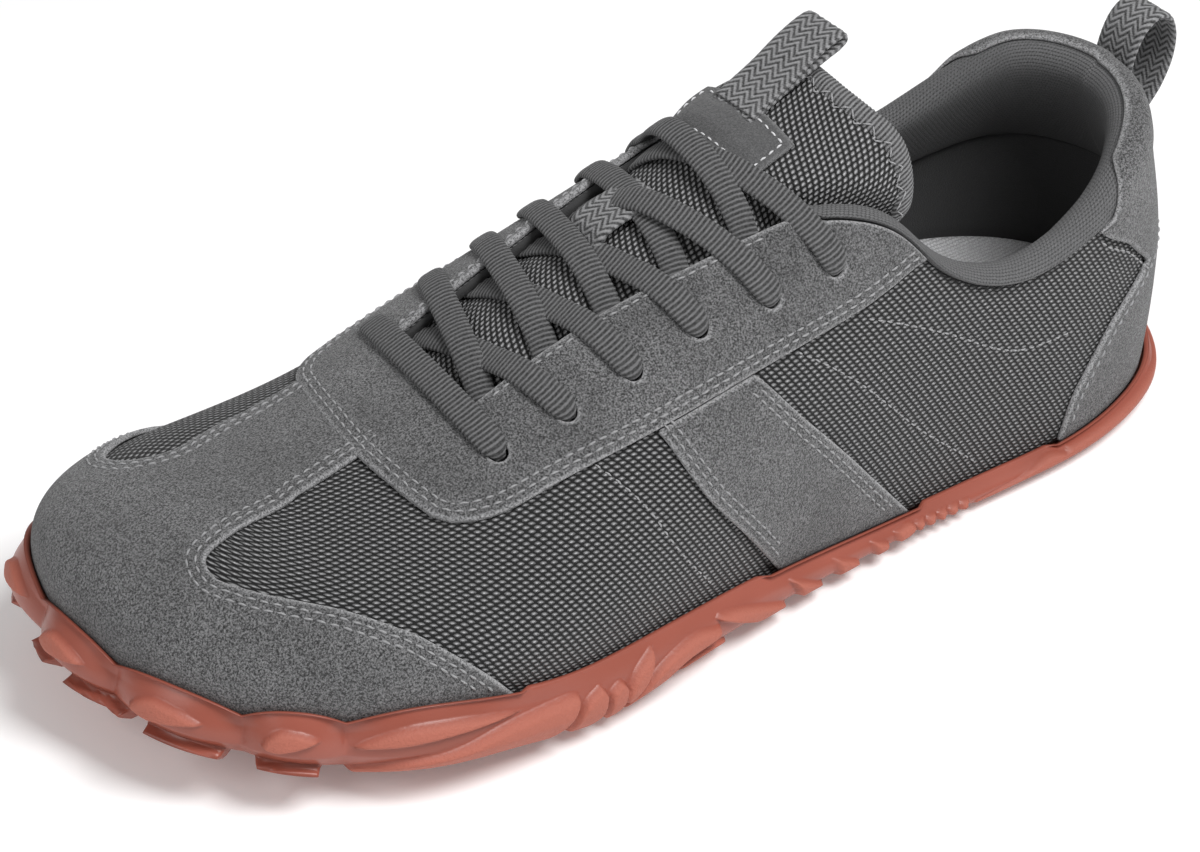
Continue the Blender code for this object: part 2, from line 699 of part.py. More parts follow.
def make_upper():
    """The hollow body: mesh on the sides, cut open at the collar, along the throat and below."""
    stations = stations_of(UPPER_KEYS)
    front = int(np.argmin(np.abs(stations - THROAT_FRONT)))
    toward_toe = np.clip((stations - THROAT_FRONT) / (1 - THROAT_FRONT), 0, 1)
    shares = np.array([0.0, 0.2, 0.36, 0.50, 0.62, 0.74, 0.87, 1.0])
    pieces = []
    for side in (1, -1):
        turns = turned(side, stations)
        depth, _ = cup_at(turns)
        start = below_rim(turns, depth - 2 * GAP)
        stop = edge_rise(turns)
        stop[front:] = stop[front] + (TOE_ROW - stop[front]) * toward_toe[front:]
        rises = start[:, None] * (1 - shares) + stop[:, None] * shares
        over = stop[:, None] + (1 - stop[:, None]) * np.array([0.25, 0.5, 0.75, 1.0])
        grid = last(turns[:, None], np.hstack([rises, over]))
        keep = every(grid)
        keep[:front, len(shares) - 1:] = False
        pieces.append(facing(side, grid, keep))
    points, faces = thicken(pieces, -UPPER_WALL, 0.0)
    return make("upper", points, faces, paint("upper_mesh", "mesh", 0.85))


def overlay(name, pieces):
    """A suede piece on the upper, a gap above it."""
    points, faces = thicken(pieces, GAP, GAP + SUEDE)
    return make(name, points, faces, paint(name + "_suede", "suede", 0.9))


def make_toe_cap():
    """The mudguard around the toe with its strip up the middle, between two mesh windows."""
    bar = np.array(BAR_FRONT)
    pieces = []
    for side, table in ((1, np.array(CAP_LATERAL)), (-1, np.array(CAP_MEDIAL))):
        keys = sorted({CAP_START, 0.702, 0.724, 0.742, 0.868, table[-1, 0], 1.0})
        stations = stations_of(keys)
        tip = int(np.argmin(np.abs(stations - table[-1, 0])))
        begin = int(np.argmin(np.abs(stations - 0.702)))
        low = np.interp(stations, table[:, 0], table[:, 1])
        high = np.interp(stations, table[:, 0], table[:, 2])
        blend = np.clip((stations - table[-1, 0]) / (1 - table[-1, 0]), 0, 1)
        low = low + (TOE_ROW - low) * blend
        high = high + (TOE_ROW - high) * blend
        turns = turned(side, stations)
        start = below_rim(turns, TUCK)
        rises = [start + (low - start) * share for share in (0.0, 0.2, 0.4, 0.6, 0.8, 1.0)]
        rises += [high + (1 - high) * share for share in (0.0, 0.33, 0.67, 1.0)]
        rises = np.stack(rises, 1)
        place = np.repeat(stations[:, None], rises.shape[1], 1)
        front = np.interp(side * (1 - rises[begin]), bar[:, 0], bar[:, 1]) + BUTT
        place[begin, 6:] = front[6:]
        grid = last(turned(side, place), rises)
        keep = every(grid)
        keep[:tip, 5] = False
        keep[:begin, 6:] = False
        pieces.append(facing(side, grid, keep))
    return overlay("toe_cap", pieces)


def eyestay_path(count):
    """Station and span of the eyestay's inner and outer edge, from the lateral top around."""
    arm = np.array(EYESTAY_ARM)
    keys = np.linspace(0, 1, len(arm))
    fine = np.linspace(0, 1, count)
    inner = np.interp(fine, keys, arm[:, 0])
    outer = np.interp(fine, keys, arm[:, 1])
    reach = np.interp(fine, keys, arm[:, 2])
    bar = np.array(BAR_FRONT)
    sides = []
    for side in (1, -1):
        clear = 0.008 * np.clip((0.40 - inner) / 0.03, 0, 1)
        edge = side * (1 - edge_rise(turned(side, inner)) + clear)
        sides.append(np.column_stack([inner, edge, outer, side * reach]))
    lateral, medial = sides[0][-1], sides[1][-1]
    across = []
    for share in np.linspace(1, 0, 13)[1:-1]:
        near = medial[1] + (lateral[1] - medial[1]) * share
        far = -BAR_HALF + 2 * BAR_HALF * share
        across.append((THROAT_FRONT, near, np.interp(far, bar[:, 0], bar[:, 1]), far))
    return np.vstack([sides[0], across, sides[1][::-1]])


def make_eyestay():
    """The suede around the throat, with a bar across its front."""
    path = eyestay_path(24)
    shares = np.linspace(0, 1, 5)
    station = path[:, 0:1] * (1 - shares) + path[:, 2:3] * shares
    span = path[:, 1:2] * (1 - shares) + path[:, 3:4] * shares
    grid = across_last(station, span)[:, ::-1]
    return overlay("eyestay", [(grid, every(grid))])


def make_saddle(name, side):
    """A suede band from the eyestay down into the sole."""
    table = np.array(SADDLE)
    down = np.linspace(0, 1, 9)
    across = np.linspace(0, 1, 5)
    front = natural(table[:, 0], table[:, 1], down)
    rear = natural(table[:, 0], table[:, 2], down)
    station = rear[:, None] + (front - rear)[:, None] * across
    arm = np.array(EYESTAY_ARM)
    outer = np.interp(station[0], arm[:, 1], arm[:, 2]) + BUTT * 4
    foot = 1 - below_rim(turned(side, station[-1]), TUCK)
    span = outer * (1 - down[:, None]) + foot * down[:, None]
    grid = across_last(station, side * span)
    grid = grid if side > 0 else grid[:, ::-1]
    return overlay(name, [(grid, every(grid))])


def make_heel_counter():
    """The suede around the back: a low band, and a high piece under the collar."""
    table = np.array(COUNTER)
    pieces = []
    for side in (1, -1):
        stations = stations_of(HEEL_KEYS)
        low = np.interp(stations, table[:, 0], table[:, 1])
        high = np.interp(stations, table[:, 0], table[:, 2])
        turns = turned(side, stations)
        start = below_rim(turns, TUCK)
        top = edge_rise(turns) - 0.012
        high = np.minimum(high, top - 0.03)
        top_end = int(np.argmin(np.abs(stations - COUNTER_TOP_END)))
        fork = int(np.argmin(np.abs(stations - table[1, 0])))
        rises = [start + (low - start) * share for share in (0.0, 0.33, 0.67, 1.0)]
        rises += [high + (top - high) * share for share in (0.0, 0.25, 0.5, 0.75, 1.0)]
        grid = last(turns[:, None], np.stack(rises, 1))
        keep = every(grid)
        keep[:, 3] = False
        keep[top_end:, 4:] = False
        pieces.append(facing(side, grid, keep))
    return overlay("heel_counter", pieces)


def frame_at(turn, rise):
    """A place on the last with its outward normal and the way up along the wall."""
    step = 1e-3
    place = last(turn, rise)
    up = last(turn, rise + step) - last(turn, rise - step)
    along = last(turn + step, rise) - last(turn - step, rise)
    normal = np.cross(up, along)
    normal /= np.linalg.norm(normal, axis=-1, keepdims=True)
    up /= np.linalg.norm(up, axis=-1, keepdims=True)
    return place, normal, up


def rise_length(turn, rise):
    """Millimetres of wall for one whole rise, at a place."""
    step = 1e-3
    return np.linalg.norm(last(turn, rise + step) - last(turn, rise - step), axis=-1) / (2 * step)


def sweep(sections, closed_path=False):
    """A closed solid through closed sections, shaped (sections, corners, 3)."""
    count, corners = sections.shape[:2]
    faces = []
    for i in range(count if closed_path else count - 1):
        after = (i + 1) % count
        for j in range(corners):
            side = (j + 1) % corners
            faces.append([i * corners + j, i * corners + side, after * corners + side,
                          after * corners + j])
    if not closed_path:
        faces.append(list(range(corners))[::-1])
        faces.append([(count - 1) * corners + j for j in range(corners)])
    return sections.reshape(-1, 3), faces


def make_collar():
    """The padded roll that sits on the upper's edge and lines the opening."""
    front = steps_between([0.30, COLLAR_END], 0.0135)
    stations = np.append(stations_of([*HEEL_KEYS, 0.30]), front[1:])
    turns = np.concatenate([-stations[:0:-1], stations])
    rise = edge_rise(turns)
    place, normal, up = frame_at(turns, rise)
    x = place[:, 0] / LENGTH
    table = np.array(COLLAR_ROLL)
    thick = np.interp(x, table[:, 0], table[:, 1])
    height = np.interp(x, table[:, 0], table[:, 2])
    depth = np.interp(x, table[:, 0], table[:, 3])
    low_rise = rise - depth / rise_length(turns, rise)
    low_place, low_normal, _ = frame_at(turns, low_rise)
    mid_place, mid_normal, _ = frame_at(turns, (rise + low_rise) / 2)
    lining = np.full_like(thick, -UPPER_WALL - 2 * GAP)
    crest = (
        (GAP + SUEDE + 0 * thick, SEAM + 0 * thick),
        (GAP + SUEDE + 0 * thick, 0.5 * height),
        (-0.15 * thick, 0.86 * height),
        (-0.45 * thick, height),
        (-0.78 * thick, 0.80 * height),
        (-thick, 0.25 * height),
    )
    sections = [place + normal * n[:, None] + up * u[:, None] for n, u in crest]
    sections.append(mid_place - mid_normal * thick[:, None])
    sections.append(low_place + low_normal * (lining - 1.2)[:, None])
    sections.append(low_place + low_normal * lining[:, None])
    sections.append(mid_place + mid_normal * lining[:, None])
    sections.append(place + normal * lining[:, None] + up * SEAM)
    sections = np.stack(sections, 1)
    points, faces = sweep(sections)
    return make("collar_lining", points, faces, paint("collar_knit", "knit", 0.95), smooth=False)


def make_insole():
    """The sock liner on the sole's floor, clear of the upper's inner wall."""
    half = stations_of(SOLE_KEYS)[::1]
    turns = np.concatenate([half, 2 - half[-2:0:-1], half[:1]])
    foot = stave(turns)[0]
    depth, _ = cup_at(turns)
    place = last(turns, below_rim(turns, depth - GAP))
    edge = place - outward(turns) * (UPPER_WALL + 2 * GAP)
    edge[:, 2] = foot[:, 2] - depth + 2 * GAP
    spine = spine_of(turns)
    spine[:, 2] += 2 * GAP
    under = np.stack([spine, edge], 1)
    over = under[:, ::-1] + np.array([0, 0, INSOLE])
    grid = np.concatenate([under, over], 1)
    back, places = weld(grid.reshape(-1, 3))
    faces = grid_faces(back.reshape(grid.shape[:2]), every(grid))
    return make("insole", places, faces, paint("insole_foam", "foam", 0.95))


def tongue_grid(stations, spans):
    """The tongue's middle sheet, by station and share of its half width."""
    half = np.interp(stations, TONGUE_HALF[0], TONGUE_HALF[1])
    return across_last(stations[:, None], spans[None, :] * half[:, None])


def tongue_sink(stations, shares):
    """How far the tongue's face lies below the last, deeper under the collar's roll.

    shares is a grid, a row for each station: 1 is the lateral edge and -1 the medial one.
    """
    free = np.clip((TONGUE_FREE - stations) / 0.06, 0, 1)[:, None]
    edge = np.clip((np.abs(shares) - 0.55) / 0.45, 0, 1)
    return UPPER_WALL + 3.5 * GAP + free * edge * 4.0 - free * (1 - edge) * 1.2


def make_tongue():
    """The padded tongue under the laces, free above the collar's front."""
    stations = steps_between([TONGUE_TOP, 0.40, TONGUE_ROOT], 0.022)
    spans = np.linspace(1, -1, 11)
    grid = tongue_grid(stations, spans)
    sink = tongue_sink(stations, np.tile(spans, (len(stations), 1)))
    pillow = TONGUE * (1 - 0.45 * np.abs(spans[None, :]) ** 4)
    points, faces = thicken([(grid, every(grid))], [-sink - pillow], [-sink])
    return make("tongue", points, faces, paint("tongue_mesh", "mesh", 0.9))


def strip(name, centre, across, width, thick, material):
    """A flat strip along a centre line, square to the given directions across it."""
    along = np.gradient(centre, axis=0)
    along /= np.linalg.norm(along, axis=1, keepdims=True)
    across = across - along * np.sum(across * along, 1, keepdims=True)
    across /= np.linalg.norm(across, axis=1, keepdims=True)
    face = np.cross(along, across)
    corners = []
    for side, lift in ((-1, -1), (1, -1), (1, 1), (-1, 1)):
        corners.append(centre + across * side * width / 2 + face * lift * thick / 2)
    points, faces = sweep(np.stack(corners, 1))
    return make(name, points, faces, material)


def on_last(station, span, lift):
    """Places above the last, with its normals, by station and span."""
    station, span = np.asarray(station, float), np.asarray(span, float)
    step = 1e-3
    place = across_last(station, span)
    along = across_last(station + step, span) - across_last(station - step, span)
    side = across_last(station, span + step) - across_last(station, span - step)
    normal = np.cross(along, side)
    normal /= np.linalg.norm(normal, axis=-1, keepdims=True)
    return place + normal * np.asarray(lift, float)[..., None], normal


def lace_bar(name, start, end, lifts, material):
    """One visible length of lace, from (station, span) to (station, span), with its lifts."""
    share = np.linspace(0, 1, 11)
    station = start[0] + (end[0] - start[0]) * share
    span = start[1] + (end[1] - start[1]) * share
    lift = np.interp(share, np.linspace(0, 1, len(lifts)), lifts)
    centre, normal = on_last(station, span, lift)
    along = np.gradient(centre, axis=0)
    return strip(name, centre, np.cross(normal, along), LACE_WIDTH, LACE_THICK, material)


def make_laces():
    """The straight first bar and the five crossings, each crossing one joined solid."""
    material = paint("lace_braid", "webbing", 0.85)
    over = GAP + SUEDE + GAP + LACE_THICK / 2
    first = EYELETS[0]
    lace_bar("lace_1", first, (first[0], -first[1]), [over] * 3, material)
    for k in range(1, len(EYELETS)):
        low, high = EYELETS[k - 1], EYELETS[k]
        bars = []
        for side in (1, -1):
            shows = LACE_SHOWS[k - 1]
            shown = (low[1] - shows) / (low[1] + high[1])
            start = (low[0] + (high[0] - low[0]) * shown, -side * shows)
            under = side > 0 or k == KEPT_CROSSING
            under = under and not (side > 0 and k == KEPT_CROSSING)
            lifts = LACE_UNDER if under else LACE_OVER
            bars.append(lace_bar("lace_%d" % (k + 1) if side > 0 else "lace_top", start,
                                 (high[0], side * high[1]), over + np.array(lifts), material))
        bar, top = bars
        unite(bar, top)


def make_label():
    """The bare patch sewn on the tongue."""
    station = np.linspace(*LABEL_STATIONS, 4)
    span = np.linspace(*LABEL_SPANS, 8)
    half = np.interp(station, TONGUE_HALF[0], TONGUE_HALF[1])[:, None]
    sink = tongue_sink(station, span[None, :] / half) - 0.5
    grid = across_last(station[:, None], span[None, :])
    points, faces = thicken([(grid, every(grid))], [GAP - sink], [GAP + LABEL_THICK - sink])
    return make("tongue_label", points, faces, paint("label_suede", "suede", 0.9))


def loop_of(name, line, middle_y, material):
    """A webbing loop: a closed line of (x, z) places, as wide as the webbing."""
    line = np.array(line, float)
    after = np.roll(line, -1, 0)
    before = np.roll(line, 1, 0)
    along = after - before
    along /= np.linalg.norm(along, axis=1, keepdims=True)
    out = np.column_stack([along[:, 1], -along[:, 0]])
    sections = []
    for y, lift in ((-1, 0), (1, 0), (1, 1), (-1, 1)):
        place = line - out * WEB_THICK * lift
        sections.append(np.column_stack([place[:, 0], np.full(len(line), middle_y + y * WEB_WIDTH / 2),
                                         place[:, 1]]))
    points, faces = sweep(np.stack(sections, 1), closed_path=True)
    return make(name, points, faces, material)


def make_webbing():
    """The tongue's pull tab, its lace keeper and the loop on the heel."""
    material = paint("webbing_weave", "webbing", 0.85)
    loop_of("tongue_pull_tab", TAB_LINE, TAB_Y, material)
    stations = np.linspace(*KEEPER_STATIONS, 5)
    lift = -UPPER_WALL - 3.5 * GAP + GAP + KEEPER_THICK / 2
    centre, normal = on_last(stations, KEEPER_SPAN + 0 * stations, lift + 0 * stations)
    across = np.cross(normal, np.gradient(centre, axis=0))
    strip("lace_keeper", centre, across, KEEPER_WIDTH, KEEPER_THICK, material)
    loop_of("heel_pull_loop", HEEL_LOOP_LINE, 0.0, material)


def stand_at_origin():
    """Puts the middle of the shoe's box, at the floor, on the origin."""
    places = []
    for item in PARTS.objects:
        flat = np.empty(3 * len(item.data.vertices))
        item.data.vertices.foreach_get("co", flat)
        places.append(flat.reshape(-1, 3))
    low = np.min([place.min(0) for place in places], 0)
    high = np.max([place.max(0) for place in places], 0)
    shift = np.array([(low[0] + high[0]) / 2, (low[1] + high[1]) / 2, low[2]])
    for item, place in zip(PARTS.objects, places):
        item.data.vertices.foreach_set("co", (place - shift).ravel())
        item.data.update()


def main():
    """Builds every sub-part."""
    make_outsole()
    make_insole()
    make_upper()
    make_toe_cap()
    make_eyestay()
    make_saddle("saddle_lateral", 1)
    make_saddle("saddle_medial", -1)
    make_heel_counter()
    make_collar()
    make_tongue()
    make_laces()
    make_label()
    make_webbing()
    stand_at_origin()


for old in list(bpy.data.objects):
    bpy.data.objects.remove(old, do_unlink=True)
PARTS = bpy.data.collections.new("barefoot_shoe")
bpy.context.scene.collection.children.link(PARTS)
main()
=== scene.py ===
# %% [markdown]
# # A left barefoot shoe
#
# The shoe is a mesh upper with suede panels on it, a soft tongue under flat laces, and a
# gum rubber sole with a lobed toe. All of it follows one form, the last that a shoemaker
# pulls the upper over. So the first cells work out that last as a function, and each later
# piece is a patch of it, lifted by its own thickness.

import bpy
import numpy as np
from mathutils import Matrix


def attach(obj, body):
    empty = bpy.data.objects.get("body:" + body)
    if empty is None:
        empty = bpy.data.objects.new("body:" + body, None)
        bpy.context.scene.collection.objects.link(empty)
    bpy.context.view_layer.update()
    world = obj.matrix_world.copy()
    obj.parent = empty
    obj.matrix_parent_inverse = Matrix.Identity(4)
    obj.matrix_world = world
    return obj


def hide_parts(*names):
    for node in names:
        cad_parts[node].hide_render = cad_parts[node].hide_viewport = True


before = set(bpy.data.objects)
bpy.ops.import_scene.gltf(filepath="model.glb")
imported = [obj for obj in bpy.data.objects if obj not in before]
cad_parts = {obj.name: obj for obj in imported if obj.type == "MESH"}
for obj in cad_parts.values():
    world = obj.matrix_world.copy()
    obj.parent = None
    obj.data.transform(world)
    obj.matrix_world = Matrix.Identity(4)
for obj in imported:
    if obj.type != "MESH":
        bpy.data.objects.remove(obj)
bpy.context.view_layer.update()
MM = 0.001
ORIGIN = np.array([137.25, 0.25, 0.0])
print("frame loaded with", len(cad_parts), "nodes")

# %% [markdown]
# ## Camera
#
# The photograph looks down on the toe from the outer side through a long lens. Two angles,
# a small roll and a distance say where the camera stands, and the lens follows from the
# size of the shoe in the picture.

# %% Camera
CAMERA_AZIMUTH = 140.48
CAMERA_ELEVATION = 35.44
CAMERA_ROLL = 2.83
CAMERA_DISTANCE = 1000.1
CAMERA_TARGET = np.array([150.32, -5.04, 25.52])
CAMERA_LENS = 138.82
SENSOR = 36.0


def turn_matrix(azimuth, elevation, roll):
    """Columns right, up and back of a camera that is turned, raised and then rolled."""
    a, e, r = np.radians([azimuth, elevation, roll])
    back = np.array([np.sin(a) * np.cos(e), -np.cos(a) * np.cos(e), np.sin(e)])
    right = np.array([np.cos(a), np.sin(a), 0.0])
    up = np.cross(back, right)
    return np.column_stack([np.cos(r) * right + np.sin(r) * up, np.cos(r) * up - np.sin(r) * right, back])


def stand_at(item, matrix):
    """Places an item; Blender takes the matrix column by column."""
    item.matrix_world = [list(column) for column in matrix.T]


camera_data = bpy.data.cameras.new("camera")
camera_data.lens = CAMERA_LENS
camera_data.sensor_width = SENSOR
camera_data.sensor_fit = "HORIZONTAL"
camera_data.clip_start = 0.05
camera = bpy.data.objects.new("camera", camera_data)
bpy.context.scene.collection.objects.link(camera)
facing = turn_matrix(CAMERA_AZIMUTH, CAMERA_ELEVATION, CAMERA_ROLL)
place = np.eye(4)
place[:3, :3] = facing
place[:3, 3] = (CAMERA_TARGET - ORIGIN + CAMERA_DISTANCE * facing[:, 2]) * MM
stand_at(camera, place)
bpy.context.scene.camera = camera

# %% [markdown]
# ## The last
#
# A stave is one curve up the wall of the foot, from the feather line, where upper meets
# sole, to the ridge along the top. It is a Bezier curve whose handles are interpolated from
# a short table of stations around the foot. A point is named by its turn around the foot
# (0 at the heel, 1 at the toe, 2 at the heel again) and its rise up the stave.

# %% Sizes of the last
LENGTH = 280.0
BALL = 96.5
RIM = 26.8
WALL_REACH = 50.0
CROWN_REACH = 30.0
INSTEP = 118.0
COLLAR = 84.0
THROAT = 40.0

# station, along / LENGTH, lateral and medial / BALL, their rims / RIM, wall handle / WALL_REACH,
# crown handle / CROWN_REACH, lean of the wall in degrees
STATIONS = np.array((
    (0.000, 0.0164, 0.000, 0.000, 0.384, 0.384, 1.10, 0.73, 5),
    (0.045, 0.0307, 0.147, -0.139, 0.340, 0.403, 1.10, 0.73, 5),
    (0.090, 0.0664, 0.261, -0.252, 0.299, 0.433, 1.04, 0.73, 4),
    (0.140, 0.1271, 0.335, -0.323, 0.261, 0.500, 0.96, 0.73, 2),
    (0.250, 0.2507, 0.370, -0.336, 0.254, 0.578, 0.88, 0.87, 1),
    (0.360, 0.3850, 0.396, -0.330, 0.347, 0.646, 0.76, 1.00, 2),
    (0.470, 0.5175, 0.435, -0.363, 0.478, 0.687, 0.62, 1.07, 5),
    (0.570, 0.6436, 0.494, -0.431, 0.593, 0.735, 0.50, 1.00, 8),
    (0.660, 0.7446, 0.518, -0.477, 0.672, 0.772, 0.42, 0.93, 9),
    (0.740, 0.8379, 0.472, -0.497, 0.761, 0.836, 0.38, 0.87, 8),
    (0.820, 0.9179, 0.359, -0.472, 0.821, 0.948, 0.36, 0.80, 8),
    (0.890, 0.9682, 0.207, -0.395, 0.881, 0.989, 0.36, 0.80, 8),
    (0.950, 0.9914, 0.037, -0.270, 0.933, 1.000, 0.36, 0.80, 8),
    (1.000, 0.9986, -0.123, -0.123, 0.970, 0.970, 0.36, 0.80, 8),
))

# along / LENGTH, height / INSTEP, across / BALL of the ridge
RIDGE = np.array((
    (0.136, 1.000, 0.000), (0.250, 0.924, 0.000), (0.357, 0.831, 0.000), (0.464, 0.733, -0.010),
    (0.571, 0.637, -0.026), (0.679, 0.528, -0.041), (0.757, 0.445, -0.052), (0.843, 0.403, -0.073),
))

# along / LENGTH, height of the upper's edge / COLLAR on the lateral and on the medial side
TOPLINE = np.array((
    (0.000, 0.800, 0.800), (0.045, 0.785, 0.800), (0.080, 0.740, 0.785), (0.125, 0.680, 0.720),
    (0.180, 0.630, 0.655), (0.225, 0.614, 0.635), (0.271, 0.650, 0.670), (0.304, 0.712, 0.735),
    (0.328, 0.785, 0.815), (0.348, 0.865, 0.895), (0.371, 0.925, 0.960), (0.400, 0.965, 1.000),
    (0.430, 1.010, 1.040), (0.480, 1.150, 1.150), (0.720, 1.900, 1.900),
))

# along / LENGTH, half width of the throat / THROAT
THROAT_EDGE = np.array((
    (0.000, 0.640), (0.360, 0.600), (0.430, 0.510), (0.520, 0.440), (0.580, 0.390), (0.700, 0.350),
    (1.000, 0.340),
))
THROAT_FRONT = 0.625
THROAT_REAR = 0.28
EDGE_BLEND = 0.03

# along / LENGTH, depth of the cup below the rim, height of the sole's under side
CUP = np.array((
    (0.00, 3.4, 2.0), (0.10, 3.2, 1.6), (0.30, 3.2, 1.8), (0.40, 4.0, 2.4), (0.52, 6.0, 2.8),
    (0.65, 8.0, 3.0), (0.76, 9.0, 3.0), (0.85, 9.5, 4.6), (0.93, 9.5, 8.0), (1.00, 9.0, 12.5),
))
# how far the heel's upper back leans forward, and the heights and lengths it fades over
HEEL_LEAN = 3.0
LEAN_HEIGHTS = (34.0, 70.0)
LEAN_LENGTHS = (6.0, 46.0)
GAP = 0.35
UPPER_WALL = 2.0
SUEDE = 1.2


# %% Curves through a few rows
NUDGE = 1e-3


def unit(vectors):
    """The vectors at length one."""
    return vectors / np.maximum(np.linalg.norm(vectors, axis=-1, keepdims=True), 1e-9)


def run_along(line):
    """Millimetres covered from the start of a line to each of its places."""
    return np.concatenate([[0], np.cumsum(np.linalg.norm(np.diff(line, axis=0), axis=1))])


def eased(share):
    """A share from 0 to 1, with level ends."""
    return share * share * (3 - 2 * share)


def natural(keys, values, at):
    """Natural cubic spline through (keys, values): each span a cubic, bends equal at the keys."""
    count = len(keys)
    gap = np.diff(keys)
    system = np.eye(count)
    right = np.zeros(count)
    for i in range(1, count - 1):
        system[i, i - 1:i + 2] = gap[i - 1], 2 * (gap[i - 1] + gap[i]), gap[i]
        right[i] = 6 * ((values[i + 1] - values[i]) / gap[i] - (values[i] - values[i - 1]) / gap[i - 1])
    bend = np.linalg.solve(system, right)
    at = np.clip(np.asarray(at, float), keys[0], keys[-1])
    k = np.clip(np.searchsorted(keys, at, side="right") - 1, 0, count - 2)
    t = at - keys[k]
    h = gap[k]
    return ((bend[k] * (h - t) ** 3 + bend[k + 1] * t ** 3) / (6 * h)
            + (values[k] / h - bend[k] * h / 6) * (h - t) + (values[k + 1] / h - bend[k + 1] * h / 6) * t)


def periodic(keys, rows, period, at):
    """The same spline closed on itself, for rows of values that repeat each period."""
    count = len(keys)
    gap = np.diff(np.append(keys, keys[0] + period))
    system = np.zeros((count, count))
    right = np.zeros_like(rows)
    for i in range(count):
        after = (i + 1) % count
        system[i, i - 1] += gap[i - 1]
        system[i, i] += 2 * (gap[i - 1] + gap[i])
        system[i, after] += gap[i]
        right[i] = 6 * ((rows[after] - rows[i]) / gap[i] - (rows[i] - rows[i - 1]) / gap[i - 1])
    bend = np.linalg.solve(system, right)
    offset = (np.asarray(at, float) - keys[0]) % period
    k = np.clip(np.searchsorted(keys - keys[0], offset, side="right") - 1, 0, count - 1)
    t = (offset - (keys[k] - keys[0]))[..., None]
    h = gap[k][..., None]
    after = (k + 1) % count
    return ((bend[k] * (h - t) ** 3 + bend[after] * t ** 3) / (6 * h)
            + (rows[k] / h - bend[k] * h / 6) * (h - t) + (rows[after] / h - bend[after] * h / 6) * t)


# %% Staves and the last
def half_ring(across, rim):
    """One side's rows of along, across, rim, wall handle, lean and crown handle, in millimetres."""
    t = STATIONS
    return np.column_stack([t[:, 1] * LENGTH, t[:, across] * BALL, t[:, rim] * RIM,
                            t[:, 6] * WALL_REACH, t[:, 8], t[:, 7] * CROWN_REACH])


RING_KEYS = np.concatenate([STATIONS[:, 0], 2 - STATIONS[-2:0:-1, 0]])
RING = np.vstack([half_ring(2, 4), half_ring(3, 5)[-2:0:-1]])
RIDGE_X = RIDGE[:, 0] * LENGTH
RIDGE_Z = RIDGE[:, 1] * INSTEP
RIDGE_Y = RIDGE[:, 2] * BALL


def stave(turn):
    """The four Bezier handles of the stave at each turn."""
    row = periodic(RING_KEYS, RING, 2.0, turn)
    foot = row[..., :3]
    x = np.clip(foot[..., 0], RIDGE_X[0], RIDGE_X[-1])
    ridge = np.stack([x, natural(RIDGE_X, RIDGE_Y, x), natural(RIDGE_X, RIDGE_Z, x)], -1)
    slope = (natural(RIDGE_X, RIDGE_Z, x + 1) - natural(RIDGE_X, RIDGE_Z, x - 1)) / 2
    out = unit((foot - ridge) * [1, 1, 0])
    lean = np.radians(row[..., 4:5])
    up = np.array([0.0, 0.0, 1.0])
    wall = foot + row[..., 3:4] * (np.sin(lean) * out + np.cos(lean) * up)
    crown = ridge + row[..., 5:6] * (out + (slope * out[..., 0])[..., None] * up)
    return foot, wall, crown, ridge


def last(turn, rise):
    """Points of the last; below the feather line a stave runs straight on."""
    turn, rise = np.broadcast_arrays(np.asarray(turn, float), np.asarray(rise, float))
    foot, wall, crown, ridge = stave(turn)
    v = np.clip(rise, 0, 1)[..., None]
    curve = ((1 - v) ** 3 * foot + 3 * v * (1 - v) ** 2 * wall + 3 * v * v * (1 - v) * crown
             + v ** 3 * ridge)
    curve = curve + np.minimum(rise, 0)[..., None] * 3 * (wall - foot)
    high = np.interp(curve[..., 2], LEAN_HEIGHTS, (0, 1))
    back = np.interp(curve[..., 0], LEAN_LENGTHS, (1, 0))
    curve[..., 0] += HEEL_LEAN * eased(high) * eased(back)
    return curve


def turn_of(station, span):
    """The turn of a station: its own on the lateral side, mirrored where the span is negative."""
    return np.where(np.asarray(span) >= 0, station, 2 - np.asarray(station))


def across_last(station, span):
    """Points of the last by station and span: 1 lateral feather line, 0 ridge, -1 medial."""
    station, span = np.broadcast_arrays(np.asarray(station, float), np.asarray(span, float))
    return last(turn_of(station, span), 1 - np.abs(span))


def frame_at(turn, rise):
    """A place on the last with its outward normal and the way up along the wall."""
    up = last(turn, rise + NUDGE) - last(turn, rise - NUDGE)
    along = last(turn + NUDGE, rise) - last(turn - NUDGE, rise)
    return last(turn, rise), unit(np.cross(up, along)), unit(up)


def slopes(station, span):
    """How a place moves per station and per span, in millimetres."""
    along = across_last(station + NUDGE, span) - across_last(station - NUDGE, span)
    side = across_last(station, span + NUDGE) - across_last(station, span - NUDGE)
    return along / (2 * NUDGE), side / (2 * NUDGE)


def on_last(station, span, lift=0.0):
    """Places a lift above the last, with their normals, by station and span."""
    station, span = np.broadcast_arrays(np.asarray(station, float), np.asarray(span, float))
    normal = unit(np.cross(*slopes(station, span)))
    return across_last(station, span) + normal * np.broadcast_to(lift, station.shape)[..., None], normal


def rise_length(turn, rise):
    """Millimetres of wall for one whole rise, at a place."""
    return np.linalg.norm(last(turn, rise + NUDGE) - last(turn, rise - NUDGE), axis=-1) / (2 * NUDGE)


def below_rim(turn, depth):
    """The rise that lies depth millimetres below the feather line, as a negative number."""
    foot, wall, _, _ = stave(np.asarray(turn, float))
    return -depth / (3 * np.linalg.norm(wall - foot, axis=-1))


def outward(turn):
    """The level direction that leaves the sole's outline square to it."""
    along = stave(turn + NUDGE)[0] - stave(turn - NUDGE)[0]
    return unit(np.stack([-along[..., 1], along[..., 0], np.zeros_like(along[..., 0])], -1))


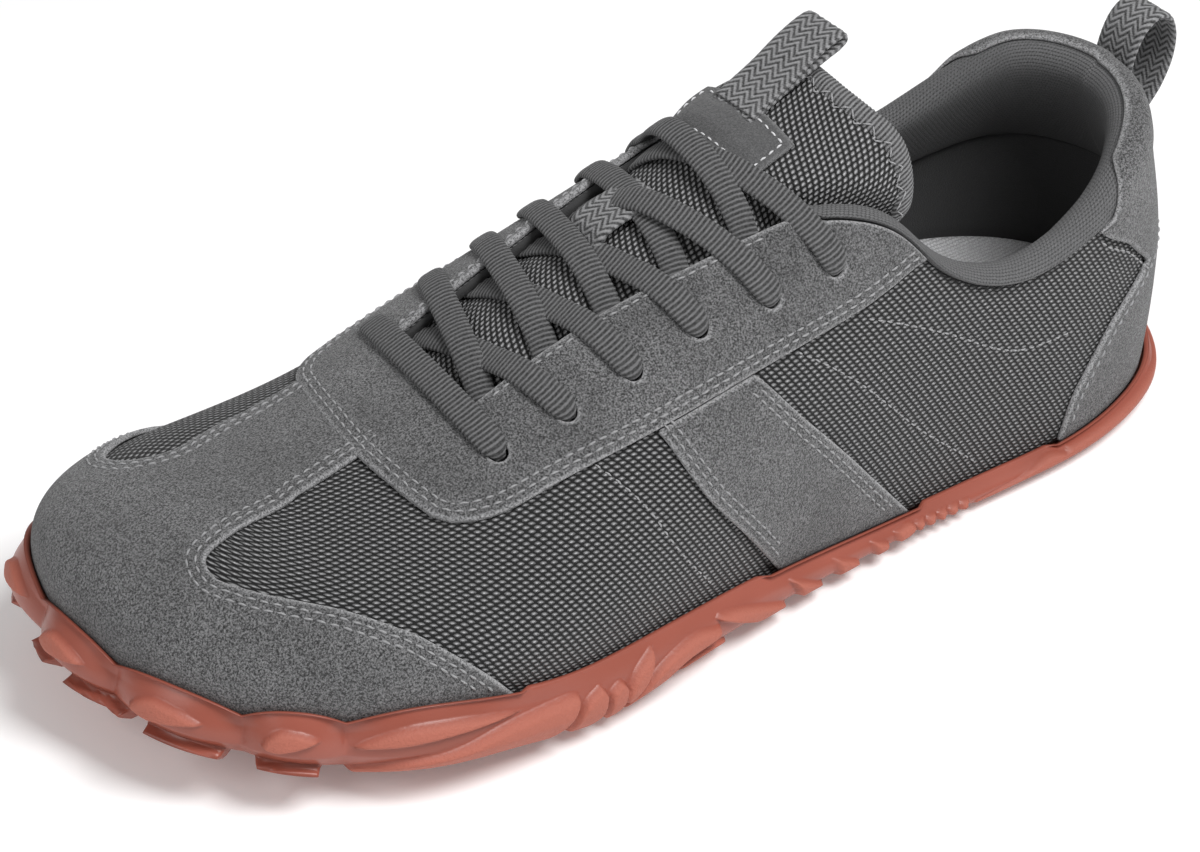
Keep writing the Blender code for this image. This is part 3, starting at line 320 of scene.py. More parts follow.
def under_side(x):
    """Height of the sole's under side, by the distance from the heel."""
    return natural(CUP[:, 0] * LENGTH, CUP[:, 2], x)


def cup_at(turn):
    """Cup depth and height of the under side at each turn."""
    x = stave(turn)[0][..., 0]
    return natural(CUP[:, 0] * LENGTH, CUP[:, 1], x), under_side(x)


def first_crossing(steps, values):
    """For each row, the first step at which its values rise through nought, or 1."""
    above = values >= 0
    k = np.argmax(above, 1)
    rows = np.arange(len(values))
    missing = ~above.any(1) | (k == 0)
    k = np.maximum(k, 1)
    a, b = values[rows, k - 1], values[rows, k]
    share = a / np.where(np.abs(a - b) < 1e-9, 1, a - b)
    return np.where(missing, 1.0, steps[k - 1] + (steps[k] - steps[k - 1]) * share)


def edge_rise_exact(turn):
    """Rise of the upper's edge: the collar's top line, blended into the throat's edge."""
    turn = np.atleast_1d(np.asarray(turn, float)) % 2.0
    rises = np.linspace(0, 1, 161)
    points = last(turn[:, None], rises[None, :])
    x = points[..., 0]
    heights = [natural(TOPLINE[:, 0] * LENGTH, TOPLINE[:, c] * COLLAR, x) for c in (1, 2)]
    top = points[..., 2] - np.where(turn[:, None] <= 1, heights[0], heights[1])
    half = natural(THROAT_EDGE[:, 0] * LENGTH, THROAT_EDGE[:, 1] * THROAT, x)
    side = half - np.abs(points[..., 1] - natural(RIDGE_X, RIDGE_Y, x))
    collar = first_crossing(rises, top)
    lacing = np.where(x[:, 0] > THROAT_REAR * LENGTH, first_crossing(rises, side), 1.0)
    low = np.minimum(collar, lacing)
    return low - EDGE_BLEND * np.exp(-np.abs(collar - lacing) / EDGE_BLEND)


EDGE_TURNS = np.linspace(0, 2, 1601)
EDGE_RISES = edge_rise_exact(EDGE_TURNS)


def edge_rise(turn):
    """The upper's edge read from its worked-out curve."""
    return np.interp(np.asarray(turn, float) % 2.0, EDGE_TURNS, EDGE_RISES)


def edge_span(station, side):
    """Span of the upper's edge at a station, on the side that the sign of side names."""
    return 1 - edge_rise(turn_of(station, side))


def room_below(turn, rise):
    """Millimetres of wall from a place up to the upper's edge."""
    return (edge_rise(turn) - rise) * rise_length(turn, np.clip(rise, 0.02, 0.98))


print("last is", np.ptp(last(EDGE_TURNS, 0.0)[:, 0]).round(1), "mm long at the feather line")


# %% [markdown]
# ## Making meshes
#
# Everything below is a grid of points worked out in millimetres, then handed to Blender in
# metres. A sheet gets its thickness from two offsets along its normals, and its open edges
# are closed by a wall.

# %% Meshes from arrays
def grid_quads(rows, columns, wrap_rows=False, wrap_columns=False):
    """Corner numbers of the quads of a grid, optionally closed along either way."""
    i = np.arange(rows if wrap_rows else rows - 1)[:, None]
    j = np.arange(columns if wrap_columns else columns - 1)[None, :]
    i2, j2 = (i + 1) % rows, (j + 1) % columns
    quads = np.stack(np.broadcast_arrays(i * columns + j, i * columns + j2, i2 * columns + j2,
                                         i2 * columns + j), -1)
    return quads.reshape(-1, 4)


def weld(points, faces):
    """Merges points that share a place; quads that lose a corner become triangles (-1 last)."""
    _, first, back = np.unique(np.round(points, 3), axis=0, return_index=True, return_inverse=True)
    faces = np.where(faces >= 0, back.reshape(-1)[faces], -1)
    three = faces[:, 3] < 0
    quads = faces[~three]
    same = quads == np.roll(quads, 1, 1)
    lost = same.sum(1)
    short = np.take_along_axis(quads[lost == 1], np.argsort(same[lost == 1], axis=1, kind="stable"), 1)
    short[:, 3] = -1
    triangles = np.vstack([faces[three], short])
    a, b, c = triangles[:, :3].T
    return first, np.vstack([quads[lost == 0], triangles[(a != b) & (b != c) & (c != a)]])


def normals_of(points, faces):
    """Unit normals of the points, each the sum of its faces' area vectors."""
    corner = points[np.where(faces >= 0, faces, faces[:, 2:3])]
    area = np.cross(corner[:, 2] - corner[:, 0], corner[:, 3] - corner[:, 1])
    flat = faces[:, 3] < 0
    area[flat] = np.cross(corner[flat, 1] - corner[flat, 0], corner[flat, 2] - corner[flat, 0])
    total = np.zeros_like(points)
    for k in range(4):
        good = faces[:, k] >= 0
        np.add.at(total, faces[good, k], area[good])
    return total / np.maximum(np.linalg.norm(total, axis=1, keepdims=True), 1e-9)


def rim_edges(faces):
    """The directed edges that only one face has."""
    count = np.where(faces[:, 3] < 0, 3, 4)
    edges = []
    for k in range(4):
        good = k < count
        a = faces[good, k]
        b = np.where(k + 1 < count[good], faces[good, (k + 1) % 4], faces[good, 0])
        edges.append(np.column_stack([a, b]))
    edges = np.vstack(edges)
    span = int(faces.max()) + 1
    code = edges[:, 0].astype(np.int64) * span + edges[:, 1]
    other = edges[:, 1].astype(np.int64) * span + edges[:, 0]
    return edges[~np.isin(code, other)]


def turned_over(faces):
    """The same faces, seen from their other side."""
    turned = faces[:, ::-1].copy()
    short = faces[:, 3] < 0
    turned[short] = faces[short][:, [2, 1, 0, 3]]
    return turned


def shell(points, faces, low, high, steps=1):
    """A closed solid between two offsets of a sheet, its rim closed by a wall of a few rows.

    Returns the points, the faces, and the sheet's point that each new point comes from.
    """
    normal = normals_of(points, faces)
    low = np.broadcast_to(low, len(points))
    high = np.broadcast_to(high, len(points))
    count = len(points)
    top = points + normal * high[:, None]
    under = points + normal * low[:, None]
    flipped = turned_over(faces)
    flipped = np.where(flipped >= 0, flipped + count, -1)
    edges = rim_edges(faces)
    rim = np.unique(edges)
    rank = np.full(count, -1)
    rank[rim] = np.arange(len(rim))
    layers = [top, under]
    source = [np.arange(count), np.arange(count)]
    levels = [rim]
    for k in range(1, steps):
        share = k / steps
        levels.append(2 * count + (k - 1) * len(rim) + np.arange(len(rim)))
        layers.append(top[rim] * (1 - share) + under[rim] * share)
        source.append(rim)
    levels.append(rim + count)
    walls = []
    for a, b in zip(levels, levels[1:]):
        walls.append(np.column_stack([b[rank[edges[:, 0]]], b[rank[edges[:, 1]]],
                                      a[rank[edges[:, 1]]], a[rank[edges[:, 0]]]]))
    return np.vstack(layers), np.vstack([faces, flipped] + walls), np.concatenate(source)


def swept(sections):
    """A solid carried through rings of points; its two ends are closed by a fan each."""
    rows, ring = sections.shape[:2]
    j = np.arange(ring)
    k = (j + 1) % ring
    none = np.full(ring, -1)
    end = (rows - 1) * ring
    head = np.column_stack([none + 1 + rows * ring, k, j, none])
    tail = np.column_stack([none + 2 + rows * ring, end + j, end + k, none])
    points = np.vstack([sections.reshape(-1, 3), sections[0].mean(0), sections[-1].mean(0)])
    return points, np.vstack([grid_quads(rows, ring, wrap_columns=True), head, tail])


def swept_all(sections):
    """Many such solids of one build, as one mesh."""
    _, faces = swept(sections[0])
    caps = sections[:, [0, -1]].mean(2)
    points = np.concatenate([sections.reshape(len(sections), -1, 3), caps], 1)
    shift = (np.arange(len(sections)) * points.shape[1])[:, None, None]
    faces = np.where(faces[None] >= 0, faces[None] + shift, -1)
    return points.reshape(-1, 3), faces.reshape(-1, 4)


def piece(name, points, faces, material, nodes=(), uv=None, marks=None, smooth=True):
    """A named object from points in millimetres, riding on the shoe and standing for its nodes."""
    corner = points[np.where(faces >= 0, faces, faces[:, 2:3])]
    middle = points.mean(0)
    a, b, c, d = (corner[:, k] - middle for k in range(4))
    volume = np.einsum("ij,ij", a, np.cross(b, c)) + np.einsum("ij,ij", a, np.cross(c, d))
    if volume < 0:
        faces = turned_over(faces)
    mesh = bpy.data.meshes.new(name)
    corners = faces[faces >= 0] if (faces < 0).any() else faces.reshape(-1)
    sizes = np.where(faces[:, 3] < 0, 3, 4)
    mesh.vertices.add(len(points))
    mesh.vertices.foreach_set("co", ((points - ORIGIN) * MM).astype(np.float32).ravel())
    mesh.loops.add(len(corners))
    mesh.loops.foreach_set("vertex_index", corners.astype(np.int32))
    mesh.polygons.add(len(faces))
    starts = np.concatenate([[0], np.cumsum(sizes)[:-1]]).astype(np.int32)
    mesh.polygons.foreach_set("loop_start", starts)
    mesh.polygons.foreach_set("use_smooth", np.full(len(faces), smooth))
    if uv is not None:
        layer = mesh.uv_layers.new(name="cloth")
        layer.data.foreach_set("uv", uv[corners].astype(np.float32).ravel())
    for label, values in (marks or {}).items():
        attribute = mesh.attributes.new(label, "FLOAT", "POINT")
        attribute.data.foreach_set("value", np.asarray(values, np.float32))
    mesh.update(calc_edges=True)
    mesh.validate()
    item = bpy.data.objects.new(name, mesh)
    bpy.context.scene.collection.objects.link(item)
    mesh.materials.append(material)
    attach(item, "root")
    if nodes:
        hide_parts(*nodes)
    print(name, "has", len(faces), "faces")
    return item


# %% Outlines and panels
def smooth_line(points, per_span=10):
    """A curve through the points: each span a Catmull-Rom cubic, its ends straight on."""
    p = np.asarray(points, float)
    p = np.vstack([2 * p[:1] - p[1:2], p, 2 * p[-1:] - p[-2:-1]])
    t = np.linspace(0, 1, per_span, endpoint=False)[:, None]
    a, b, c, d = (p[k:len(p) - 3 + k][:, None, :] for k in range(4))
    curve = 0.5 * (2 * b + (c - a) * t + (2 * a - 5 * b + 4 * c - d) * t ** 2
                   + (3 * b - a - 3 * c + d) * t ** 3)
    return np.vstack([curve.reshape(-1, p.shape[1]), p[-2:-1]])


def inside(outline, station, span):
    """True where (station, span) lies inside the closed outline, by counting crossings."""
    result = np.zeros(station.shape, bool)
    before = np.roll(outline, 1, 0)
    for (s1, p1), (s0, p0) in zip(outline, before):
        if p1 == p0:
            continue
        crosses = (p1 > span) != (p0 > span)
        result ^= crosses & (station < (s0 - s1) * (span - p1) / (p0 - p1) + s1)
    return result


def away_from(line, points):
    """Millimetres from each point to a line of places, its closest stretch found one by one."""
    best = np.full(points.shape[:-1], 1e9)
    for a, b in zip(line[:-1], line[1:]):
        along = b - a
        size = along @ along
        if size < 1e-12:
            continue
        share = np.clip((points - a) @ along / size, 0, 1)
        gap = points - a - share[..., None] * along
        best = np.minimum(best, np.einsum("...k,...k", gap, gap))
    return np.sqrt(best)


def margin(outline, station, span, points):
    """How far inside a closed outline each point lies, in millimetres; negative outside."""
    ring = np.vstack([outline, outline[:1]])
    gap = away_from(across_last(ring[:, 0], np.clip(ring[:, 1], -1.3, 1.3)), points)
    return np.where(inside(outline, station, span), gap, -gap)


CUT_CASES = {
    1: (0, "01", "03"), 2: (1, "12", "01"), 4: (2, "23", "12"), 8: (3, "03", "23"),
    3: (0, 1, "12", "03"), 6: (1, 2, "23", "01"), 12: (2, 3, "03", "12"), 9: (3, 0, "01", "23"),
    7: (0, 1, 2, "23", "03"), 14: (1, 2, 3, "03", "01"), 13: (2, 3, 0, "01", "12"),
    11: (3, 0, 1, "12", "23"), 5: (0, "01", "12", 2, "23", "03"), 10: (1, "12", "23", 3, "03", "01"),
}


def cut_sheet(faces, values):
    """Cuts quads along the line where values rise through nought.

    Returns the faces, in old and new point numbers, and for each new point its two old
    points and its share between them.
    """
    values = np.where(np.abs(values) < 0.05, 0.0, values)
    good = values >= 0
    bits = (good[faces] * np.array([1, 2, 4, 8])).sum(1)
    out = [faces[bits == 15]]
    size = len(values)
    absent = 2 * size * size
    keys = []
    parts = []
    for case, tokens in CUT_CASES.items():
        quads = faces[bits == case]
        if not len(quads):
            continue
        corners = []
        for token in tokens:
            if isinstance(token, int):
                corners.append(quads[:, token].astype(np.int64))
                continue
            a, b = quads[:, int(token[0])], quads[:, int(token[1])]
            code = np.minimum(a, b).astype(np.int64) * size + np.maximum(a, b)
            keys.append(code)
            corners.append(-code - 1)
        corners = np.stack(corners, 1)
        if corners.shape[1] == 3:
            parts.append(np.column_stack([corners, np.full(len(corners), absent)]))
        else:
            parts.append(corners[:, :4])
        if corners.shape[1] == 5:
            parts.append(np.column_stack([corners[:, [0, 3, 4]], np.full(len(corners), absent)]))
        if corners.shape[1] == 6:
            parts.append(corners[:, [0, 3, 4, 5]])
    if not keys:
        return out[0], np.empty((0, 2), int), np.empty(0)
    keys = np.unique(np.concatenate(keys))
    ends = np.stack([keys // size, keys % size], 1)
    va, vb = values[ends[:, 0]], values[ends[:, 1]]
    share = va / (va - vb)
    for part in parts:
        none = part == absent
        new = part < 0
        number = size + np.searchsorted(keys, -part - 1)
        out.append(np.where(none, -1, np.where(new, number, part)))
    return np.vstack(out).astype(int), ends, share


def trim(points, faces, value, flat):
    """Cuts a sheet where value falls to nought; returns what stays of points, faces, value, map."""
    used, ends, share = cut_sheet(faces, value)
    table = np.column_stack([points, flat, value])
    cut = table[ends[:, 0]] * (1 - share[:, None]) + table[ends[:, 1]] * share[:, None]
    cut[:, -1] = 0
    table = np.vstack([table, cut])
    first, faces = weld(table[:, :3], used)
    kept = np.unique(faces[faces >= 0])
    number = np.full(len(first), -1)
    number[kept] = np.arange(len(kept))
    table = table[first][kept]
    return table[:, :3], np.where(faces >= 0, number[faces], -1), table[:, 5], table[:, 3:5]


def patch(turn, rise):
    """A grid of turns and rises as points, faces, stations, spans and the cloth's own map."""
    turn, rise = np.broadcast_arrays(turn, rise)
    points = last(turn, rise).reshape(-1, 3)
    faces = grid_quads(*turn.shape)
    flat_turn = turn.reshape(-1) % 2.0
    station = np.where(flat_turn > 1, 2 - flat_turn, flat_turn)
    span = (1 - rise.reshape(-1)) * np.where(flat_turn > 1, -1, 1)
    return points, faces, station, span, flat_turn, rise.reshape(-1)


CLOTH_TURNS = 400
CLOTH_RISES = 65
CLOTH_LOW = 0.3


def cloth_map(turn, rise, points):
    """The cloth's own millimetres: along the shoe, and down the stave from the ridge."""
    steps = np.linspace(-CLOTH_LOW, 1, CLOTH_RISES + 1)
    turns = np.linspace(0, 2, CLOTH_TURNS + 1)
    line = last(turns[:, None], steps[None, :])
    size = np.linalg.norm(np.diff(line, axis=1), axis=-1)
    down = np.concatenate([np.cumsum(size[:, ::-1], 1)[:, ::-1], np.zeros((len(turns), 1))], 1)
    i = np.clip(turn / 2 * CLOTH_TURNS, 0, CLOTH_TURNS - 0.001)
    j = np.clip((rise + CLOTH_LOW) / (1 + CLOTH_LOW) * CLOTH_RISES, 0, CLOTH_RISES - 0.001)
    a, b = i.astype(int), j.astype(int)
    u, v = i - a, j - b
    depth = (down[a, b] * (1 - u) * (1 - v) + down[a + 1, b] * u * (1 - v)
             + down[a, b + 1] * (1 - u) * v + down[a + 1, b + 1] * u * v)
    return np.column_stack([points[:, 0], np.where(turn > 1, -depth, depth)])


def panel(name, sheet, field, node, thick=SUEDE):
    """A flat-cut suede panel on the last: a patch, trimmed where field(...) falls to nought.

    The cut edge stands up as a small wall and the top rounds over within a millimetre of it.
    """
    points, faces, station, span, turn, rise = sheet
    value = field(station, span, turn, rise, points)
    points, faces, value, flat = trim(points, faces, value, cloth_map(turn, rise, points))
    round_over = np.clip(value / 0.9, 0, 1)
    high = GAP + thick * (0.66 + 0.34 * np.sqrt(1 - (1 - round_over) ** 2))
    solid, faces, source = shell(points, faces, GAP, high, steps=2)
    from_edge = value[source]
    from_edge[len(points):] = 0.0
    piece(name, solid, faces, suede, [node], flat[source], {"from_edge": from_edge})


# %% [markdown]
# ## Finishes
#
# A finish is a small tree of nodes. What several finishes share, such as a nap of tiny
# flecks or a lattice of threads, is a node group with its own named inputs, placed in each
# material with other numbers.

# %% Small helpers for nodes
def add(tree, kind, **sockets):
    """A node of a kind; each named socket gets a value or a link, and _name sets a property."""
    node = tree.nodes.new(kind)
    for key, value in sockets.items():
        if key.startswith("_"):
            setattr(node, key[1:], value)
    for key, value in sockets.items():
        if key.startswith("_"):
            continue
        socket = node.inputs[int(key[1:]) if key[1:].isdigit() else key.replace("_", " ")]
        if isinstance(value, bpy.types.NodeSocket):
            tree.links.new(value, socket)
        else:
            socket.default_value = value
    return node


def calc(tree, operation, *values, clamp=False):
    """The result of one Math node."""
    sockets = {"i%d" % k: value for k, value in enumerate(values)}
    return add(tree, "ShaderNodeMath", _operation=operation, _use_clamp=clamp, **sockets).outputs[0]


def plus(tree, a, b):
    """The sum of two values."""
    return calc(tree, "ADD", a, b)


def times(tree, a, b, clamp=False):
    """The product of two values."""
    return calc(tree, "MULTIPLY", a, b, clamp=clamp)


def blend_colours(tree, share, first, second):
    """The first colour turning into the second as share goes from 0 to 1."""
    return add(tree, "ShaderNodeMix", _data_type="RGBA", i0=share, i6=first, i7=second).outputs[2]


def ramp(tree, value, low, high):
    """0 where value is at low, 1 at high, straight between."""
    return add(tree, "ShaderNodeMapRange", Value=value, From_Min=low, From_Max=high).outputs[0]


def object_place(tree):
    """The place on the piece, in metres."""
    return add(tree, "ShaderNodeTexCoord").outputs["Object"]


def mark(tree, name):
    """A value that the piece carries at its points."""
    return add(tree, "ShaderNodeAttribute", _attribute_name=name).outputs["Fac"]


def noise(tree, place, scale, detail=2.0, rough=0.5):
    """A noise value at a place."""
    return add(tree, "ShaderNodeTexNoise", Vector=place, Scale=scale, Detail=detail,
               Roughness=rough).outputs["Fac"]


def group(name, inputs, outputs):
    """An empty node group with named number inputs and outputs."""
    tree = bpy.data.node_groups.new(name, "ShaderNodeTree")
    for label, default in inputs.items():
        kind = "NodeSocketVector" if default is None else "NodeSocketFloat"
        socket = tree.interface.new_socket(label, in_out="INPUT", socket_type=kind)
        if default is not None:
            socket.default_value = default
    for label in outputs:
        tree.interface.new_socket(label, in_out="OUTPUT", socket_type="NodeSocketFloat")
    return tree, tree.nodes.new("NodeGroupInput").outputs, tree.nodes.new("NodeGroupOutput").inputs


def use(tree, made, **sockets):
    """A node group placed in a tree; returns its outputs."""
    return add(tree, "ShaderNodeGroup", _node_tree=made, **sockets).outputs


def finish_of(name, roughness, sheen=0.0, specular=0.5):
    """A material whose constant values sit on the shader's own sockets."""
    material = bpy.data.materials.new(name)
    material.use_nodes = True
    tree = material.node_tree
    shader = tree.nodes["Principled BSDF"]
    shader.inputs["Roughness"].default_value = roughness
    shader.inputs["Sheen Weight"].default_value = sheen
    shader.inputs["Sheen Roughness"].default_value = 0.5
    shader.inputs["Specular IOR Level"].default_value = specular
    return material, tree, shader


def bump_into(tree, shader, height, distance, strength=1.0):
    """Sends a height in metres through a Bump node to the shader's normal."""
    node = add(tree, "ShaderNodeBump", Height=height, Distance=distance, Strength=strength)
    tree.links.new(node.outputs[0], shader.inputs["Normal"])


def grey(value):
    """A near-neutral colour, a touch blue, from one linear value."""
    return (value, value, value * 1.02, 1.0)


# %% Nap group: flecks of cut fibre
nap, ins, outs = group("nap", {"Place": None, "Scale": 1.0}, ("Fleck", "Patch", "Height"))
scaled = add(nap, "ShaderNodeVectorMath", _operation="SCALE", i0=ins["Place"])
nap.links.new(ins["Scale"], scaled.inputs["Scale"])
fine = noise(nap, scaled.outputs[0], 2300.0, 3.0, 0.8)
middle = noise(nap, scaled.outputs[0], 700.0, 2.0, 0.6)
broad = noise(nap, scaled.outputs[0], 45.0, 3.0, 0.6)
nap.links.new(ramp(nap, fine, 0.41, 0.62), outs["Fleck"])
nap.links.new(ramp(nap, broad, 0.30, 0.70), outs["Patch"])
nap.links.new(plus(nap, times(nap, fine, 0.7), times(nap, middle, 0.5)),
              outs["Height"])

# %% Lattice group: staggered cells of thread with holes between
lattice, ins, outs = group(
    "lattice", {"U": 0.0, "V": 0.0, "Length": 2.0, "Pitch": 1.3, "Slant": 0.4, "Fill": 0.9},
    ("Thread", "Hole", "Row"))
v = calc(lattice, "DIVIDE", ins["V"], ins["Pitch"])
row = calc(lattice, "FLOOR", v)
fv = calc(lattice, "SUBTRACT", calc(lattice, "FRACT", v), 0.5)
u = calc(lattice, "DIVIDE", ins["U"], ins["Length"])
u = plus(lattice, u, times(lattice, row, 0.5))
u = plus(lattice, u, times(lattice, fv, ins["Slant"]))
fu = calc(lattice, "SUBTRACT", calc(lattice, "FRACT", u), 0.5)
round_u = calc(lattice, "POWER", calc(lattice, "ABSOLUTE", times(lattice, fu, 2.0)), 2.4)
round_v = calc(lattice, "POWER", calc(lattice, "ABSOLUTE", times(lattice, fv, 2.0)), 2.0)
bulk = calc(lattice, "SUBTRACT", ins["Fill"], plus(lattice, round_u, round_v))
lattice.links.new(ramp(lattice, bulk, -0.12, 0.55), outs["Thread"])
lattice.links.new(ramp(lattice, bulk, -0.1, -0.7), outs["Hole"])
lattice.links.new(row, outs["Row"])


# %% Suede
def make_suede(name, base, fleck, edge):
    """Nap flecks over a base grey, darker patches, and a pale raw line along cut edges."""
    material, tree, shader = finish_of(name, 0.93, sheen=0.22, specular=0.25)
    place = object_place(tree)
    made = use(tree, nap, Place=place)
    colour = blend_colours(tree, made["Fleck"], grey(base), grey(fleck))
    shade = blend_colours(tree, times(tree, made["Patch"], 0.35), colour, grey(base * 0.8))
    away = mark(tree, "from_edge")
    rim = ramp(tree, away, 0.95, 0.15)
    soft = times(tree, rim, plus(tree, made["Fleck"], 0.2), clamp=True)
    whole = blend_colours(tree, soft, shade, grey(edge))
    tree.links.new(whole, shader.inputs["Base Color"])
    bump_into(tree, shader, made["Height"], 0.0006, 1.0)
    return material


suede = make_suede("suede", 0.022, 0.275, 0.42)
label_suede = make_suede("label_suede", 0.075, 0.140, 0.20)


# %% Mesh and knit
def make_weave(name, dark, light, length, pitch, slant, fill, height, rough=0.8):
    """A lattice of threads over dark holes, read from the cloth's own millimetres."""
    material, tree, shader = finish_of(name, rough, sheen=0.1, specular=0.35)
    cloth = add(tree, "ShaderNodeUVMap", _uv_map="cloth").outputs[0]
    place = object_place(tree)
    split = add(tree, "ShaderNodeSeparateXYZ", Vector=cloth).outputs
    wander = times(tree, calc(tree, "SUBTRACT", noise(tree, place, 90.0), 0.5), 0.9)
    made = use(tree, lattice, U=split[0], V=plus(tree, split[1], wander), Length=length, Pitch=pitch,
               Slant=slant, Fill=fill)
    fibre = noise(tree, place, 3000.0, 2.0, 0.7)
    lit = blend_colours(tree, ramp(tree, fibre, 0.3, 0.72), grey(light * 0.62), grey(light * 1.25))
    colour = blend_colours(tree, made["Thread"], grey(dark), lit)
    # The mark read here turns the cloth a smooth near-black inside the shoe: partly the lining's own dark
    # colour, partly painted shade of the shoe's inside.
    inner = mark(tree, "inner")
    colour = blend_colours(tree, inner, colour, grey(0.036))
    tree.links.new(colour, shader.inputs["Base Color"])
    weave = times(tree, made["Thread"], calc(tree, "SUBTRACT", 1.0, inner))
    bump_into(tree, shader, plus(tree, weave, times(tree, fibre, 0.15)), height)
    return material


upper_mesh = make_weave("upper_mesh", 0.002, 0.37, 1.5, 1.3, 0.75, 0.62, 0.0014)
tongue_mesh = make_weave("tongue_mesh", 0.003, 0.37, 1.5, 1.15, 0.5, 0.70, 0.0014)
collar_knit = make_weave("collar_knit", 0.055, 0.135, 1.0, 0.8, 0.8, 1.2, 0.00025, 0.9)
insole_cloth = make_weave("insole_cloth", 0.33, 0.52, 0.9, 0.9, 0.0, 1.2, 0.0002, 0.85)


# %% Threads, laces and webbing
def make_thread(name, low, high, sheen=0.1):
    """Twisted fibre: two greys mixed by fine noise and by the raised mark, a painted highlight on raised
    threads and painted shade between them.
    """
    material, tree, shader = finish_of(name, 0.8, sheen=sheen, specular=0.35)
    place = object_place(tree)
    fibre = noise(tree, place, 2200.0, 3.0, 0.7)
    height = mark(tree, "raised")
    # Painted highlight and shade: the raised mark lightens rib crests, wraps and twill and leaves the grooves
    # dark.
    lit = plus(tree, times(tree, ramp(tree, fibre, 0.35, 0.65), 0.35),
               times(tree, ramp(tree, height, 0.25, 0.80), 0.65))
    tree.links.new(blend_colours(tree, lit, grey(low), grey(high)), shader.inputs["Base Color"])
    bump_into(tree, shader, fibre, 0.00025, 0.8)
    return material


lace_braid = make_thread("lace_braid", 0.012, 0.165)
webbing_weave = make_thread("webbing_weave", 0.004, 0.31)
overlock = make_thread("overlock", 0.012, 0.24)
stitch_thread = make_thread("stitch_thread", 0.13, 0.45)
white_thread = make_thread("white_thread", 0.45, 0.80)

# %% Gum rubber
gum_rubber, tree, shader = finish_of("gum_rubber", 0.38, specular=0.5)
place_out = object_place(tree)
grain = noise(tree, place_out, 1500.0, 3.0, 0.6)
cloud = noise(tree, place_out, 30.0, 2.0, 0.5)
matte = mark(tree, "raised")
body = blend_colours(tree, ramp(tree, cloud, 0.35, 0.65), (0.285, 0.072, 0.046, 1), (0.330, 0.087, 0.058, 1))
pale = blend_colours(tree, matte, body, (0.41, 0.122, 0.081, 1))
tree.links.new(pale, shader.inputs["Base Color"])
tree.links.new(plus(tree, 0.36, times(tree, matte, 0.34)), shader.inputs["Roughness"])
bump_into(tree, shader, times(tree, grain, plus(tree, 0.12, matte)), 0.0003, 0.8)

# %% [markdown]
# ## The sole
#
# One moulding of gum rubber. Around the toe its rim rises in lobes with a valley between
# each two, and leaf-shaped facets stand proud of the lobes. It is a closed profile carried
# around the foot: under side, side, rim, and down into the cup that the upper sits in.

# %% Sole sizes
VALLEYS = np.array((0.610, 0.790, 0.857, 0.952, 1.030, 1.150, 1.225, 1.295, 1.420))
LOBE_RISE = 2.6
LOBE_BULGE = 2.0
CAP_START = 0.684
SIDE = np.array(((0.00, 1.8), (0.16, 3.0), (0.36, 4.1), (0.58, 4.5), (0.80, 4.1), (1.00, 2.6)))
COVERED = ((-1, 0.188), (0.332, 0.456), (CAP_START, 2))
SOLE_STEPS = 1240


def lobe(turn):
    """0 in the valleys of the toe's rim and along the heel, up to 1 on its lobes."""
    turn = np.asarray(turn, float) % 2.0
    k = np.clip(np.searchsorted(VALLEYS, turn) - 1, 0, len(VALLEYS) - 2)
    share = np.clip((turn - VALLEYS[k]) / (VALLEYS[k + 1] - VALLEYS[k]), 0, 1)
    arch = 1 - np.abs(2 * share - 1) ** 2.2
    arch = np.where(k == 0, np.sin(np.pi * share ** 2.0), arch)
    arch = np.where(k == len(VALLEYS) - 2, np.sin(np.pi * (1 - share) ** 2.0), arch)
    return np.where((turn < VALLEYS[0]) | (turn > VALLEYS[-1]), 0, arch)


def covered(turn):
    """1 where a suede panel reaches down into the sole, 0 where the bare mesh does."""
    station = 1 - np.abs(1 - np.asarray(turn, float) % 2.0)
    total = np.zeros_like(station)
    for start, end in COVERED:
        rise = np.clip((station - start + 0.006) / 0.008 + 1, 0, 1)
        fall = np.clip((end + 0.006 - station) / 0.008 + 1, 0, 1)
        total = np.maximum(total, np.minimum(rise, fall))
    return total


def spine_of(turns):
    """The line along the middle of the sole's floor that every stave's row runs to."""
    foot = stave(turns)[0]
    x = np.clip(foot[:, 0], RIDGE_X[0], RIDGE_X[-1] + 12)
    stations = np.linspace(0.05, 0.95, 60)
    lateral, medial = stave(stations)[0], stave(2 - stations)[0]
    depth, _ = cup_at(stations)
    middle = (lateral + medial) / 2
    return np.column_stack([x, np.interp(x, lateral[:, 0], middle[:, 1]),
                            np.interp(x, lateral[:, 0], middle[:, 2] - depth)])


def leaf(turn_a, deep_a, turn_b, deep_b, half):
    """Outline of a leaf in turn and depth, blunt at its first end and pointed at its second."""
    share = np.linspace(0, 1, 13)
    bow = half * np.minimum(1, share / 0.3) ** 0.6 * (1 - share ** 2.4) ** 0.9
    x = turn_a + (turn_b - turn_a) * share
    y = deep_a + (deep_b - deep_a) * share
    return np.vstack([np.column_stack([x, y - 1.15 * bow]), np.column_stack([x, y + 0.85 * bow])[::-1]])


def polygon(*points):
    """A rounded outline through a few corners of turn and depth."""
    ring = np.array(points)
    ring = np.vstack([ring, ring[:1]])
    return smooth_line(ring, 5)[:-1]


